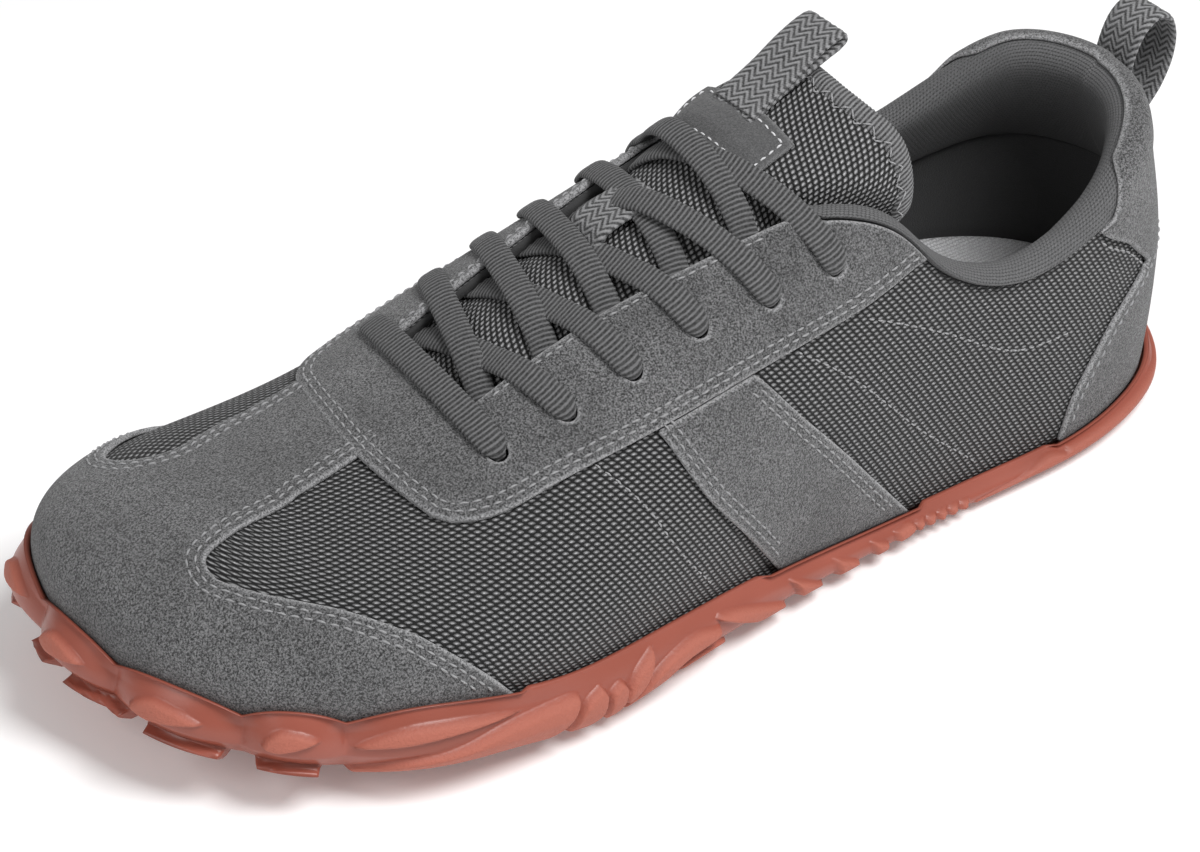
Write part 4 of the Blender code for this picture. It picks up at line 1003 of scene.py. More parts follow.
# Shapes that stand proud of the side, each an outline in turn and millimetres below the rim,
# with how proud it is and how wide its bevel is.
SIDE_SHAPES = [
    (1.5, 1.1, leaf(0.788, 5.9, 0.679, 3.7, 2.0)),
    (2.2, 1.6, polygon((0.786, 13.2), (0.760, 10.9), (0.727, 9.0), (0.690, 5.2), (0.645, 3.2), (0.636, 5.0),
                       (0.650, 12.0), (0.672, 16.5), (0.786, 17.0))),
    (1.9, 1.0, polygon((0.618, 3.4), (0.614, 6.9), (0.622, 13.9), (0.640, 15.0), (0.641, 10.0),
                       (0.632, 5.6))),
    (1.9, 0.9, polygon((0.601, 4.4), (0.597, 6.9), (0.602, 14.0), (0.613, 14.5), (0.613, 7.0), (0.607, 4.9))),
    (1.9, 1.0, polygon((0.568, 1.2), (0.571, 3.7), (0.580, 8.0), (0.594, 11.5), (0.599, 9.0), (0.588, 4.2))),
    (1.9, 1.2, polygon((0.512, 4.3), (0.535, 3.1), (0.566, 5.5), (0.586, 9.8), (0.603, 13.6), (0.574, 12.6),
                       (0.547, 8.2), (0.518, 6.7))),
    (1.5, 0.8, polygon((0.500, 10.4), (0.514, 8.6), (0.550, 11.2), (0.570, 12.8), (0.512, 11.6))),
    (2.0, 0.9, polygon((0.511, 2.0), (0.490, 3.0), (0.455, 6.9), (0.458, 8.6), (0.476, 8.8), (0.511, 3.6))),
    (1.8, 0.7, polygon((0.449, 1.9), (0.418, 6.7), (0.424, 7.7), (0.439, 7.8), (0.446, 4.0))),
    (1.6, 0.7, polygon((0.407, 2.0), (0.387, 4.6), (0.392, 6.2), (0.405, 6.9))),
    (1.5, 0.6, polygon((0.373, 1.7), (0.360, 3.5), (0.364, 5.6), (0.371, 5.6))),
    (1.2, 0.6, polygon((0.352, 1.9), (0.338, 1.4), (0.336, 3.4), (0.350, 4.8))),
    (0.8, 0.7, polygon((0.280, 3.4), (0.240, 2.2), (0.206, 0.7), (0.188, 1.9), (0.182, 3.0), (0.276, 5.2))),
    (0.8, 0.7, polygon((0.186, 0.9), (0.100, 1.5), (0.060, 2.4), (-0.060, 2.4), (-0.060, 5.5), (0.186, 5.0))),
]
for middle in (0.330, 0.320, 0.310, 0.300, 0.290):
    SIDE_SHAPES.append((1.2, 0.6, polygon((middle - 0.004, 1.5), (middle - 0.001, 3.6), (middle + 0.004, 3.8),
                                          (middle + 0.003, 1.9))))
SIDE_SHAPES += [(proud, bevel, outline * [-1, 1] + [2, 0]) for proud, bevel, outline in SIDE_SHAPES]
for low, high in zip(VALLEYS[1:-2], VALLEYS[2:-1]):
    ends = (0.80, 0.24) if low < 1.0 else (0.58, 0.14) if low < 1.05 else (0.20, 0.76)
    a, b = (low + (high - low) * share for share in ends)
    SIDE_SHAPES.append((1.3, 0.7, leaf(a, 6.2, b, 4.6, 2.4)))

# Blocks at the foot of the toe's side, from one turn to another.
FOOT_BLOCKS = ((0.806, 0.848), (0.868, 0.922), (0.938, 0.988), (1.006, 1.034), (1.080, 1.125),
               (1.172, 1.216), (1.242, 1.292), (1.320, 1.375))
BLOCK_HEIGHT = 4.2
BLOCK_PROUD = 3.9


def side_relief(run, depth, height):
    """Height of the shapes over the side, and how much of it is leaf, on a grid."""
    total = np.zeros(depth.shape)
    for proud, bevel, outline in SIDE_SHAPES:
        ring = np.column_stack([np.interp(outline[:, 0], TURN_KEYS, RUN_KEYS), outline[:, 1]])
        low, high = ring.min(0) - 0.5, ring.max(0) + 0.5
        columns = np.flatnonzero((run > low[0]) & (run < high[0]))
        if not len(columns):
            continue
        a = np.broadcast_to(run[columns, None], depth[columns].shape)
        b = depth[columns]
        gap = away_from(np.vstack([ring, ring[:1]]), np.stack([a, b], -1))
        slope = np.clip(gap / bevel, 0, 1)
        shape = np.where(inside(ring, a, b), proud * np.sin(slope * np.pi / 2) ** 0.9, 0.0)
        total[columns] = np.maximum(total[columns], shape)
    leaves = total.copy()
    for start, end in FOOT_BLOCKS:
        a, b = np.interp((start, end), TURN_KEYS, RUN_KEYS)
        wide = np.clip(np.minimum(run - a, b - run) / 0.5, 0, 1)[:, None]
        deep = np.clip((depth - (height[:, None] - BLOCK_HEIGHT)) / 0.5, 0, 1)
        total = np.maximum(total, BLOCK_PROUD * wide * deep)
    return total, leaves


# %% Sole mesh
TURN_KEYS = np.linspace(-0.2, 2.2, 2401)
RUN_KEYS = run_along(stave(TURN_KEYS)[0])
weight = np.where((TURN_KEYS > 0.48) & (TURN_KEYS < 1.52), 1.5, 1.0)
steps = np.concatenate([[0], np.cumsum(np.diff(RUN_KEYS) * weight[1:])])
first_step, last_step = np.interp((0.0, 2.0), TURN_KEYS, steps)
turns = np.interp(np.linspace(first_step, last_step, SOLE_STEPS, endpoint=False), steps, TURN_KEYS)
run = np.interp(turns, TURN_KEYS, RUN_KEYS)
foot = stave(turns)[0]
out = outward(turns)
depth, under = cup_at(turns)
swell = lobe(turns)
cup = GAP + (SUEDE + GAP) * covered(turns)
top = foot[:, 2] + LOBE_RISE * swell - 0.5
floor = foot[:, 2] - depth
height = top - under
spine = spine_of(turns)
spine_under = under_side(spine[:, 0])
toe = eased(np.clip(np.minimum(turns - 0.600, 1.440 - turns) / 0.10, 0, 1))


def level(base, z):
    """The places of base at another height."""
    return np.column_stack([base[:, :2], np.broadcast_to(z, len(base))])


drops = np.linspace(1, 0, 52)
down = 0.4 + drops[None, :] * (height[:, None] - 0.9)
relief, leaves = side_relief(run, down, height)
notch = np.clip(down / 3.0, 0, 1) * np.clip((1.15 - drops[None, :]) / 0.5, 0, 1)
bulge = LOBE_BULGE * swell[:, None] * np.sin(np.pi * np.minimum(drops * 0.9 + 0.14, 1.0))[None, :]
bulge = bulge - 1.3 * toe[:, None] * (1 - swell[:, None]) * notch
tuck = -4.2 * toe[:, None] * np.clip((drops[None, :] - 0.52) / 0.48, 0, 1) ** 1.2
proud = natural(SIDE[:, 0], SIDE[:, 1], drops)[None, :] + bulge + tuck + relief
rows = []
bottom_edge = foot + out * (1.6 - 4.0 * toe)[:, None]
for share in (0.0, 0.3, 0.6, 0.85):
    base = spine + (bottom_edge - spine) * share
    rows.append(level(base, spine_under + (under - spine_under) * share))
for k in range(len(drops)):
    rows.append(level(foot + out * proud[:, k:k + 1], top - down[:, k]))
for reach, z in ((cup + 1.3, top + 0.05), (cup + 0.8, top), (cup + 0.3, top - 0.15), (cup, top - 0.6),
                 (cup - np.tan(np.radians(6)) * depth, floor)):
    rows.append(level(foot + out * reach[:, None], z))
rows.append(level(spine, spine[:, 2]))
plain = np.zeros((SOLE_STEPS, 4))
raised = np.hstack([plain, np.clip(leaves / 1.2, 0, 1), plain, plain[:, :2]])
grid = np.stack(rows, 1)
flat = grid.reshape(-1, 3)
first, faces = weld(flat, grid_quads(*grid.shape[:2], wrap_rows=True))
piece("gum_sole", flat[first], faces, gum_rubber, ["outsole"],
      marks={"raised": raised.reshape(-1)[first]})

# %% [markdown]
# ## The mesh body
#
# The upper is one hollow wall. It starts in the sole's cup and ends at the collar and the
# throat; in front of the laces it closes over the toes.

# %% Mesh body
EYELETS = np.array(((0.628, 0.310), (0.578, 0.330), (0.532, 0.340), (0.486, 0.345), (0.436, 0.385),
                    (0.386, 0.415)))
# How much nearer the toe each medial eyelet sits than its lateral partner.
MEDIAL_SHIFT = (-0.012, -0.012, -0.004, 0.009, 0.014, 0.024)
HOLE = 2.1


def eyelet(k, side):
    """Station and reach of an eyelet on the lateral (1) or the medial (-1) side."""
    return EYELETS[k][0] + (MEDIAL_SHIFT[k] if side < 0 else 0.0), EYELETS[k][1]


STATION_LENGTH = 300.0


def below_edge(station, turn, rise):
    """Millimetres below the collar's and the throat's edge, as far as the throat's front."""
    return np.maximum(room_below(turn, rise), (station - THROAT_FRONT) * STATION_LENGTH)


def off_holes(points):
    """Millimetres from the rim of the nearest eyelet."""
    spots = [eyelet(k, side) + (side,) for side in (1, -1) for k in range(len(EYELETS))]
    holes = [across_last(station, side * reach) for station, reach, side in spots]
    return np.min([np.linalg.norm(points - hole, axis=1) for hole in holes], 0) - HOLE


wall_turn = np.linspace(0, 2, 441)
start = below_rim(wall_turn, cup_at(wall_turn)[0] - 2 * GAP)[:, None]
wall_rise = start + (1 - start) * np.linspace(0, 1, 80)
points, faces, station, span, turn, rise = patch(wall_turn[:, None], wall_rise)
value = np.minimum(below_edge(station, turn, rise), off_holes(points))
points, faces, value, flat = trim(points, faces, value, cloth_map(turn, rise, points))
rim = np.unique(rim_edges(faces))
solid, faces, source = shell(points, faces, -UPPER_WALL, 0.0)
# The inside face and the cut rims carry the mark for the near-black lining, partly painted shade of the
# shoe's inside.
inner = np.zeros(len(solid))
inner[len(points):] = 1.0
inner[rim] = 1.0
piece("mesh_body", solid, faces, upper_mesh, ["upper"], flat[source], {"inner": inner})

# %% [markdown]
# ## Light and floor
#
# The photograph is a studio shot on white: a broad soft light from above, a little more of
# it from the camera's left, and a white floor that keeps only a faint shadow. Part of the
# floor's brightness is painted light: it glows, more the farther it lies from the shoe.

# %% Light and floor
world = bpy.data.worlds.new("studio")
bpy.context.scene.world = world
world.use_nodes = True
sky = world.node_tree
background = sky.nodes["Background"]
background.inputs["Color"].default_value = (1.0, 1.0, 1.0, 1)
rays = add(sky, "ShaderNodeLightPath").outputs["Is Camera Ray"]
dim = add(sky, "ShaderNodeMapRange", Value=rays, To_Min=0.29, To_Max=1.0)
sky.links.new(dim.outputs["Result"], background.inputs["Strength"])
bpy.context.scene.view_settings.view_transform = "Standard"


def area_light(name, azimuth, elevation, distance, size, power):
    """A square soft light aimed at the shoe from an azimuth, an elevation and a distance."""
    data = bpy.data.lights.new(name, "AREA")
    data.size = size
    data.energy = power
    lamp = bpy.data.objects.new(name, data)
    bpy.context.scene.collection.objects.link(lamp)
    aim = turn_matrix(azimuth, elevation, 0.0)
    matrix = np.eye(4)
    matrix[:3, :3] = aim
    matrix[:3, 3] = aim[:, 2] * distance
    stand_at(lamp, matrix)


area_light("softbox_above", 200.0, 62.0, 1.3, 0.6, 15.0)
area_light("softbox_front", 100.0, 40.0, 1.5, 0.6, 4.6)

bpy.ops.mesh.primitive_plane_add(size=30.0)
floor_plane = bpy.context.object
floor_plane.name = "floor"
floor_with_painted_glow, tree, shader = finish_of("white_floor_painted_glow", 0.9, specular=0.0)
shader.inputs["Base Color"].default_value = (0.93, 0.93, 0.93, 1)
shader.inputs["Emission Color"].default_value = (1, 1, 1, 1)
place = object_place(tree)
# Painted light: the floor glows a little everywhere and more the farther it lies from the shoe, so it reads
# white away from the shoe while the shadow near it stays.
far = add(tree, "ShaderNodeVectorMath", _operation="LENGTH", i0=place).outputs["Value"]
glow = plus(tree, 0.12, times(tree, ramp(tree, far, 0.35, 1.6), 0.55))
tree.links.new(glow, shader.inputs["Emission Strength"])
floor_plane.data.materials.append(floor_with_painted_glow)

# %% [markdown]
# ## Suede panels
#
# The real panels are cut flat from suede, laid on the mesh and sewn down with two rows of
# stitches. Each is cut here from the last itself: its outline is a few points by station
# and span, and the sheet is trimmed where it crosses that line.

# %% Toe cap
WINDOW_LATERAL = np.vstack([
    smooth_line(((0.676, 0.10), (0.698, 0.10), (0.742, 0.13), (0.800, 0.165), (0.856, 0.21), (0.890, 0.27),
                 (0.908, 0.35), (0.912, 0.42), (0.894, 0.48), (0.868, 0.495), (0.812, 0.53), (0.774, 0.58),
                 (0.742, 0.67), (0.724, 0.76), (0.702, 0.88), (0.682, 1.0), (0.672, 1.06))),
    ((0.55, 1.3), (0.55, 0.10)),
])
WINDOW_MEDIAL = np.vstack([
    smooth_line(((0.670, -0.31), (0.716, -0.29), (0.770, -0.28), (0.820, -0.30), (0.850, -0.345),
                 (0.864, -0.42), (0.858, -0.50), (0.840, -0.56), (0.812, -0.60), (0.774, -0.66),
                 (0.742, -0.74), (0.716, -0.84), (0.694, -0.94), (0.680, -1.06))),
    ((0.55, -1.3), (0.55, -0.31)),
])
CAP_REAR = 0.640
CAP_TUCK = 1.4


def cap_field(station, span, turn, rise, points):
    """Millimetres inside the toe cap: in front of its hidden rear edge and off both windows."""
    lateral = -margin(WINDOW_LATERAL, station, span, points)
    medial = -margin(WINDOW_MEDIAL, station, span, points)
    return np.minimum(np.minimum(lateral, medial), (station - CAP_REAR) * STATION_LENGTH)


def wall_patch(turns, high, count):
    """A patch from just below the feather line up to a share of the way to the ridge."""
    low = below_rim(turns, CAP_TUCK)[:, None]
    return patch(turns[:, None], low + (1 - low) * np.linspace(0, high, count))


cap_turns = np.linspace(CAP_REAR - 0.006, 2 - CAP_REAR + 0.006, 261)
panel("toe_suede", wall_patch(cap_turns, 1, 100), cap_field, "toe_cap")

# %% Eyestay
STAY_OUTLINE = np.vstack([
    smooth_line(((0.300, 0.545), (0.320, 0.525), (0.350, 0.53), (0.380, 0.53), (0.456, 0.51), (0.534, 0.49),
                 (0.602, 0.46), (0.640, 0.448), (0.662, 0.43), (0.678, 0.40))),
    smooth_line(((0.686, 0.36), (0.692, 0.25), (0.695, 0.08), (0.688, -0.13), (0.679, -0.29),
                 (0.670, -0.36), (0.655, -0.42), (0.630, -0.452))),
    smooth_line(((0.602, -0.46), (0.534, -0.49), (0.456, -0.51), (0.380, -0.53), (0.350, -0.53),
                 (0.320, -0.525), (0.300, -0.545))),
    ((0.26, -0.545), (0.26, 0.0), (0.26, 0.545)),
])


def stay_field(station, span, turn, rise, points):
    """Millimetres inside the eyestay: inside its outline, off the throat and off its holes."""
    value = margin(STAY_OUTLINE, station, span, points)
    value = np.minimum(value, below_edge(station, turn, rise) - 0.25)
    return np.minimum(value, off_holes(points))


def span_patch(stations, spans):
    """A patch laid out across the ridge, by station and span."""
    s, p = np.broadcast_arrays(stations[:, None], spans[None, :])
    points = across_last(s, p).reshape(-1, 3)
    s_flat, p_flat = s.reshape(-1), p.reshape(-1)
    return points, grid_quads(*s.shape)[:, ::-1], s_flat, p_flat, turn_of(s_flat, p_flat), 1 - np.abs(p_flat)


stay_sheet = span_patch(np.arange(0.30, 0.702, 0.0021), np.linspace(-0.56, 0.56, 176))
panel("eyestay_suede", stay_sheet, stay_field, "eyestay", SUEDE + 0.3)

# %% Saddles
SADDLE_FRONT = ((0.560, 0.42), (0.548, 0.45), (0.534, 0.49), (0.520, 0.64), (0.502, 0.77), (0.456, 0.99),
                (0.440, 1.06))
SADDLE_REAR = ((0.316, 1.06), (0.332, 1.01), (0.378, 0.86), (0.430, 0.67), (0.462, 0.51), (0.474, 0.46),
               (0.484, 0.42))


for name, side in (("lateral", 1), ("medial", -1)):
    outline = np.vstack([smooth_line(SADDLE_FRONT), smooth_line(SADDLE_REAR)]) * [1, side]
    turns_here = np.arange(0.31, 0.57, 0.0024)
    turns_here = turns_here if side > 0 else 2 - turns_here[::-1]

    def saddle_field(station, span, turn, rise, points, outline=outline):
        """Millimetres inside the saddle and clear of the eyestay."""
        off_stay = -margin(STAY_OUTLINE, station, span, points) - 0.3
        return np.minimum(margin(outline, station, span, points), off_stay)

    panel("saddle_suede_" + name, wall_patch(turns_here, 0.6, 80), saddle_field, "saddle_" + name)

# %% Heel counter
COUNTER_BAND = smooth_line(((0.192, 1.06), (0.188, 1.02), (0.178, 0.95), (0.166, 0.91), (0.138, 0.85),
                            (0.104, 0.815), (0.070, 0.80), (0.035, 0.795), (0.0, 0.79)))
COUNTER_TOP = smooth_line(((0.000, 0.840), (0.060, 0.840), (0.086, 0.830), (0.104, 0.790), (0.125, 0.735),
                           (0.152, 0.685), (0.172, 0.60)))


def counter_field(station, span, turn, rise, points):
    """Millimetres inside the low band or the piece under the collar, joined at the back."""
    reach = np.abs(span)
    mirrored = across_last(station, reach)
    band = np.vstack([COUNTER_BAND, ((-0.1, 0.79), (-0.1, 1.3), (0.192, 1.3))])
    upper = np.vstack([COUNTER_TOP, ((0.172, 0.30), (-0.1, 0.30), (-0.1, 0.840))])
    whole = np.maximum(margin(band, station, reach, mirrored), margin(upper, station, reach, mirrored))
    over = np.where(np.minimum(turn, 2 - turn) < 0.152, 0.7, -0.3)
    return np.minimum(whole, below_edge(station, turn, rise) + over)


panel("heel_suede", wall_patch(np.arange(-0.2, 0.2001, 0.0028), 0.46, 90), counter_field, "heel_counter")

# %% [markdown]
# ## Collar
#
# A foam roll wrapped in soft knit sits on the upper's edge and runs down inside as a
# lining. Its section changes slowly: thick behind the heel, thin at the throat.

# %% Collar
COLLAR_ROLL = np.array((
    (0.00, 8.5, 8.5, 20.0), (0.08, 8.5, 8.0, 18.0), (0.18, 6.6, 5.0, 12.0), (0.28, 5.8, 4.6, 10.0),
    (0.36, 4.8, 4.0, 7.0), (0.40, 4.0, 3.6, 5.0), (0.50, 4.0, 3.2, 4.0),
))
COLLAR_END = 0.405
collar_turns = np.linspace(-COLLAR_END, COLLAR_END, 380)
rise = edge_rise(collar_turns)
place, normal, up = frame_at(collar_turns, rise)
along = place[:, 0] / LENGTH
thick, tall, deep = (np.interp(along, COLLAR_ROLL[:, 0], COLLAR_ROLL[:, k]) for k in (1, 2, 3))
taper = np.clip((COLLAR_END - np.abs(collar_turns)) / 0.012, 0.05, 1) ** 0.5
low_rise = rise - deep / rise_length(collar_turns, rise)
low_place, low_normal, _ = frame_at(collar_turns, low_rise)
mid_place, mid_normal, _ = frame_at(collar_turns, (rise + low_rise) / 2)
lining = -UPPER_WALL - 2 * GAP
wrapped = np.clip((0.155 - np.abs(collar_turns)) / 0.05, 0, 1)[:, None]
ring = [
    place + normal * (GAP + 0.2 - 0.5 * wrapped) + up * 0.2,
    place + normal * (GAP + SUEDE + 0.2 - 1.1 * wrapped) + up * (0.30 * tall)[:, None],
    place + normal * (-0.02 * thick)[:, None] + up * (0.80 * tall)[:, None],
    place + normal * (-0.45 * thick)[:, None] + up * tall[:, None],
    place + normal * (-0.86 * thick)[:, None] + up * (0.74 * tall)[:, None],
    place + normal * (-1.02 * thick)[:, None] + up * (0.15 * tall)[:, None],
    mid_place - mid_normal * thick[:, None] * 0.85,
    low_place + low_normal * (lining - 1.2),
    low_place + low_normal * lining,
    mid_place + mid_normal * lining,
    place + normal * lining - up * 0.5,
]
ring = np.stack(ring, 1)
centre = ring.mean(1, keepdims=True)
keys = np.arange(ring.shape[1], dtype=float)
fine = np.linspace(0, ring.shape[1], 56, endpoint=False)
packed = ring.transpose(1, 0, 2).reshape(ring.shape[1], -1)
dense = periodic(keys, packed, float(ring.shape[1]), fine).reshape(len(fine), len(ring), 3).transpose(1, 0, 2)
dense = centre + (dense - centre) * taper[:, None, None]
points, faces = swept(dense)
run = run_along(place)
around = np.cumsum(np.linalg.norm(np.diff(dense, axis=1, prepend=dense[:, -1:]), axis=-1), 1)
uv = np.stack([np.broadcast_to(run[:, None], around.shape), around], -1).reshape(-1, 2)
uv = np.vstack([uv, uv[:2]])
position = np.tile(fine, len(dense))
# Painted shade: down the roll's inner face the knit fades to near black towards the inside of the shoe.
inner = np.clip((position - 3.6) / 3.4, 0, 1) * np.clip((10.6 - position) / 0.6, 0, 1)
roll = piece("collar_roll", points, faces, collar_knit, ["collar_lining"], uv,
             {"inner": 0.9 * np.concatenate([inner, [0, 0]])})

# %% Heel wrap
WRAP_END = 0.158
WRAP_COLUMNS = 20
wrap_rows = np.flatnonzero(np.abs(collar_turns) < WRAP_END)
reach = np.clip((WRAP_END - np.abs(collar_turns[wrap_rows])) / 0.045, 0, 1)
reach = 0.25 + 2.75 * eased(reach)
down = np.linspace(0, 1, WRAP_COLUMNS)[None, :]
column = down * reach[:, None] / ring.shape[1] * len(fine)
j = column.astype(int)
share = (column - j)[..., None]
across = dense[wrap_rows[:, None], j] * (1 - share) + dense[wrap_rows[:, None], j + 1] * share
faces = grid_quads(len(wrap_rows), WRAP_COLUMNS)
if np.sum(normals_of(across.reshape(-1, 3), faces) * np.repeat(normal[wrap_rows], WRAP_COLUMNS, 0)) < 0:
    faces = faces[:, ::-1]
from_top = ((1 - down) * reach[:, None] * 2.6).reshape(-1)
wrap_top = 0.85 + 0.55 * np.clip(from_top / 1.2, 0, 1)
solid, faces, source = shell(across.reshape(-1, 3), faces, 0.3, wrap_top, 2)
piece("heel_wrap", solid, faces, suede, ["heel_counter"], marks={"from_edge": from_top[source]})

# %% [markdown]
# ## Tongue
#
# A padded sheet of the same mesh, wider and lower than the laces, with its top standing
# free of the collar and finished by an overlocked band.

# %% Tongue
TONGUE_ROOT = 0.655
TONGUE_FREE = 0.43
TONGUE_THICK = 4.2
# station, half width as a span
TONGUE_HALF = np.array(((0.310, 0.455), (0.340, 0.470), (0.380, 0.470), (0.430, 0.440), (0.520, 0.390),
                        (0.660, 0.350)))
# span, station of the top edge
TONGUE_EDGE = np.array(((-0.46, 0.332), (-0.40, 0.318), (-0.30, 0.313), (-0.17, 0.322), (0.0, 0.330),
                        (0.17, 0.323), (0.28, 0.313), (0.38, 0.313), (0.44, 0.323), (0.47, 0.336)))


def tongue_place(i, a):
    """Station and span on the tongue: i runs from its top edge to its root, a from side to side."""
    rough = TONGUE_EDGE[0, 1] + i * (TONGUE_ROOT - TONGUE_EDGE[0, 1])
    span = a * natural(TONGUE_HALF[:, 0], TONGUE_HALF[:, 1], rough)
    edge = natural(TONGUE_EDGE[:, 0], TONGUE_EDGE[:, 1], span)
    return edge + i * (TONGUE_ROOT - edge), span


def throat_swell(station, span):
    """How far the tongue and the laces on it stand up in the throat, most on its medial side."""
    crest = np.maximum(edge_span(station, span), 0.02)
    crown = 1.3 * np.clip(1 - (1.1 * span / crest) ** 2, 0, 1)
    high = np.clip(1 - np.abs(station - 0.385) / 0.10, 0, 1)
    lean = 5.0 * eased(high) * np.clip((0.06 - span) / 0.26, 0, 1)
    within = np.clip((crest - np.abs(span) + 0.01) / 0.07, 0, 1)
    return crown + lean * eased(within)


def tongue_sink(station, span):
    """How far the tongue's face lies below the last, deeper where the collar's roll passes over."""
    free = eased(np.clip((TONGUE_FREE + 0.01 - station) / 0.05, 0, 1))
    roll = eased(np.clip((np.abs(span) - edge_span(station, span) + 0.11) / 0.10, 0, 1))
    return UPPER_WALL + 3.5 * GAP + free * (roll * 3.4 - 1.2) - throat_swell(station, span)


i, a = np.meshgrid(np.linspace(0, 1, 200) ** 1.15, np.linspace(1, -1, 110), indexing="ij")
s, p = tongue_place(i, a)
sink = tongue_sink(s, p)
rim = np.minimum((1 - np.abs(a)) * 20.0, i * 90.0)
pillow = TONGUE_THICK * (0.35 + 0.65 * np.sqrt(1 - (1 - np.clip(rim / 3.0, 0, 1)) ** 2))
tongue_face, tongue_normal = on_last(s, p)
tongue_face = tongue_face - tongue_normal * sink[..., None]
under = tongue_face - tongue_normal * pillow[..., None]
points, faces = swept(np.concatenate([tongue_face, under[:, ::-1]], 1))
wide = np.cumsum(np.linalg.norm(np.diff(tongue_face, axis=1, prepend=tongue_face[:, :1]), axis=-1), 1)
tall = np.cumsum(np.linalg.norm(np.diff(tongue_face, axis=0, prepend=tongue_face[:1]), axis=-1), 0)
wide = wide - wide[:, 55:56]
uv = np.stack([np.concatenate([tall, tall[:, ::-1]], 1), np.concatenate([wide, wide[:, ::-1]], 1)], -1)
uv = uv.reshape(-1, 2)
tongue = piece("mesh_tongue", points, faces, tongue_mesh, ["tongue"],
               np.vstack([uv, uv[:1], uv[-1:]]))


# %% Bands and stitches
SEW_STEP = 0.25


def resample(line, step, *others):
    """The line again at an even step, with any other columns carried along."""
    far = run_along(line)
    count = max(int(far[-1] / step), 2)
    at = np.linspace(0, far[-1], count + 1)
    table = np.column_stack([line] + [np.asarray(o, float).reshape(len(line), -1) for o in others])
    return np.column_stack([np.interp(at, far, table[:, k]) for k in range(table.shape[1])])


def slide(station, span, move):
    """Moves places on the last by vectors in millimetres; returns the new station and span."""
    a, b = slopes(station, span)
    aa, ab, bb = np.sum(a * a, -1), np.sum(a * b, -1), np.sum(b * b, -1)
    ma, mb = np.sum(move * a, -1), np.sum(move * b, -1)
    det = aa * bb - ab * ab
    return station + (ma * bb - mb * ab) / det, span + (mb * aa - ma * ab) / det


def beside(line, distance):
    """A line kept at a distance beside another on the last, its crowded parts left out."""
    even = resample(across_last(line[:, 0], line[:, 1]), 0.5, line)
    place, where = even[:, :3], even[:, 3:5]
    _, normal = on_last(where[:, 0], where[:, 1])
    side = np.cross(normal, unit(np.gradient(place, axis=0)))
    station, span = slide(where[:, 0], where[:, 1], side * distance)
    moved = across_last(station, span)
    clear = away_from(place, moved) > abs(distance) * 0.93
    return np.column_stack([station, span])[clear]


def carried(centre, facing):
    """The ways across and out of a line of places that faces a given way."""
    along = unit(np.gradient(centre, axis=0))
    side = unit(np.cross(facing, along))
    return side, np.cross(along, side)


THREADS = []


def sew(line, lift, length=1.9, space=0.8, radius=0.26, wobble=0.12):
    """Adds a row of stitches along a line of stations and spans, lying on a lifted surface."""
    place, normal = on_last(line[:, 0], line[:, 1], lift)
    sew_places(resample(place, SEW_STEP, normal), length, space, radius, wobble)


def sew_places(table, length, space, radius, wobble):
    """Adds stitches along places with normals, given at every SEW_STEP."""
    pitch = (length + space) / SEW_STEP
    count = int((len(table) - 4) / pitch)
    if count < 1:
        return
    start = np.arange(count) * pitch + 1
    t = np.linspace(0, 1, 7)
    index = start[:, None] + t[None, :] * length / SEW_STEP
    whole = np.arange(len(table))
    pick = np.stack([np.interp(index, whole, table[:, k]) for k in range(6)], -1)
    place, normal = pick[..., :3], pick[..., 3:6]
    hump = np.sin(np.pi * np.clip(t, 0.02, 0.98))
    side = np.cross(normal, unit(np.gradient(place, axis=1)))
    tilt = wobble * np.sin(np.arange(count) * 2.4)[:, None] * (t - 0.5)
    centre = place + normal * (radius * (0.95 * hump - 0.35))[None, :, None] + side * tilt[..., None]
    size = radius * np.sqrt(np.clip(hump, 0.1, 1))
    angle = np.linspace(0, 2 * np.pi, 6, endpoint=False)
    ring = (side[:, :, None] * np.cos(angle)[None, None, :, None]
            + normal[:, :, None] * np.sin(angle)[None, None, :, None])
    THREADS.append(centre[:, :, None] + ring * size[None, :, None, None])


def thread_piece(name, nodes, material):
    """One object of all the stitches added so far."""
    rings = np.concatenate([block.reshape(-1, 7, 6, 3) for block in THREADS])
    THREADS.clear()
    points, faces = swept_all(rings)
    piece(name, points, faces, material, nodes, marks={"raised": np.full(len(points), 0.6)})


# %% Seams
SUEDE_TOP = GAP + SUEDE


def clipped(line, reach):
    """The part of a line whose span stays within a reach on both sides."""
    return line[np.abs(line[:, 1]) < reach]


def off_edge(line, room):
    """The part of a line that keeps some millimetres below the collar's edge."""
    left = room_below(turn_of(line[:, 0], line[:, 1]), 1 - np.abs(line[:, 1]))
    return line[(left > room) | (line[:, 0] > 0.45)]


def sew_rows(line, hand, lift, *distances):
    """Rows of stitches on one hand of a line, at distances in millimetres."""
    for distance in distances:
        row = off_edge(beside(clipped(line, 1.02), hand * distance), 1.2)
        sew(clipped(row, 0.985), lift)


sew_rows(STAY_OUTLINE[:-3], -1, SUEDE_TOP + 0.3, 1.9, 3.6)
sew_rows(WINDOW_LATERAL[:-2], -1, SUEDE_TOP, 1.9, 3.6)
sew_rows(WINDOW_MEDIAL[:-2], 1, SUEDE_TOP, 1.9, 3.6)
for side in (1, -1):
    for edge in (SADDLE_FRONT[2:-1], SADDLE_REAR[1:-2]):
        sew_rows(smooth_line(edge) * [1, side], side, SUEDE_TOP, 1.9, 3.6)
for side in (1, -1):
    sew_rows(COUNTER_BAND[1:] * [1, side], -side, SUEDE_TOP, 1.9)
    sew_rows(COUNTER_TOP[25:-4] * [1, side], side, SUEDE_TOP, 1.9)
throat_stations = np.linspace(0.425, 0.618, 40)
for side in (1, -1):
    spans = side * (edge_span(throat_stations, side) + 0.021)
    sew(np.column_stack([throat_stations, spans]), SUEDE_TOP + 0.3)
thread_piece("panel_stitches", ["eyestay"], stitch_thread)

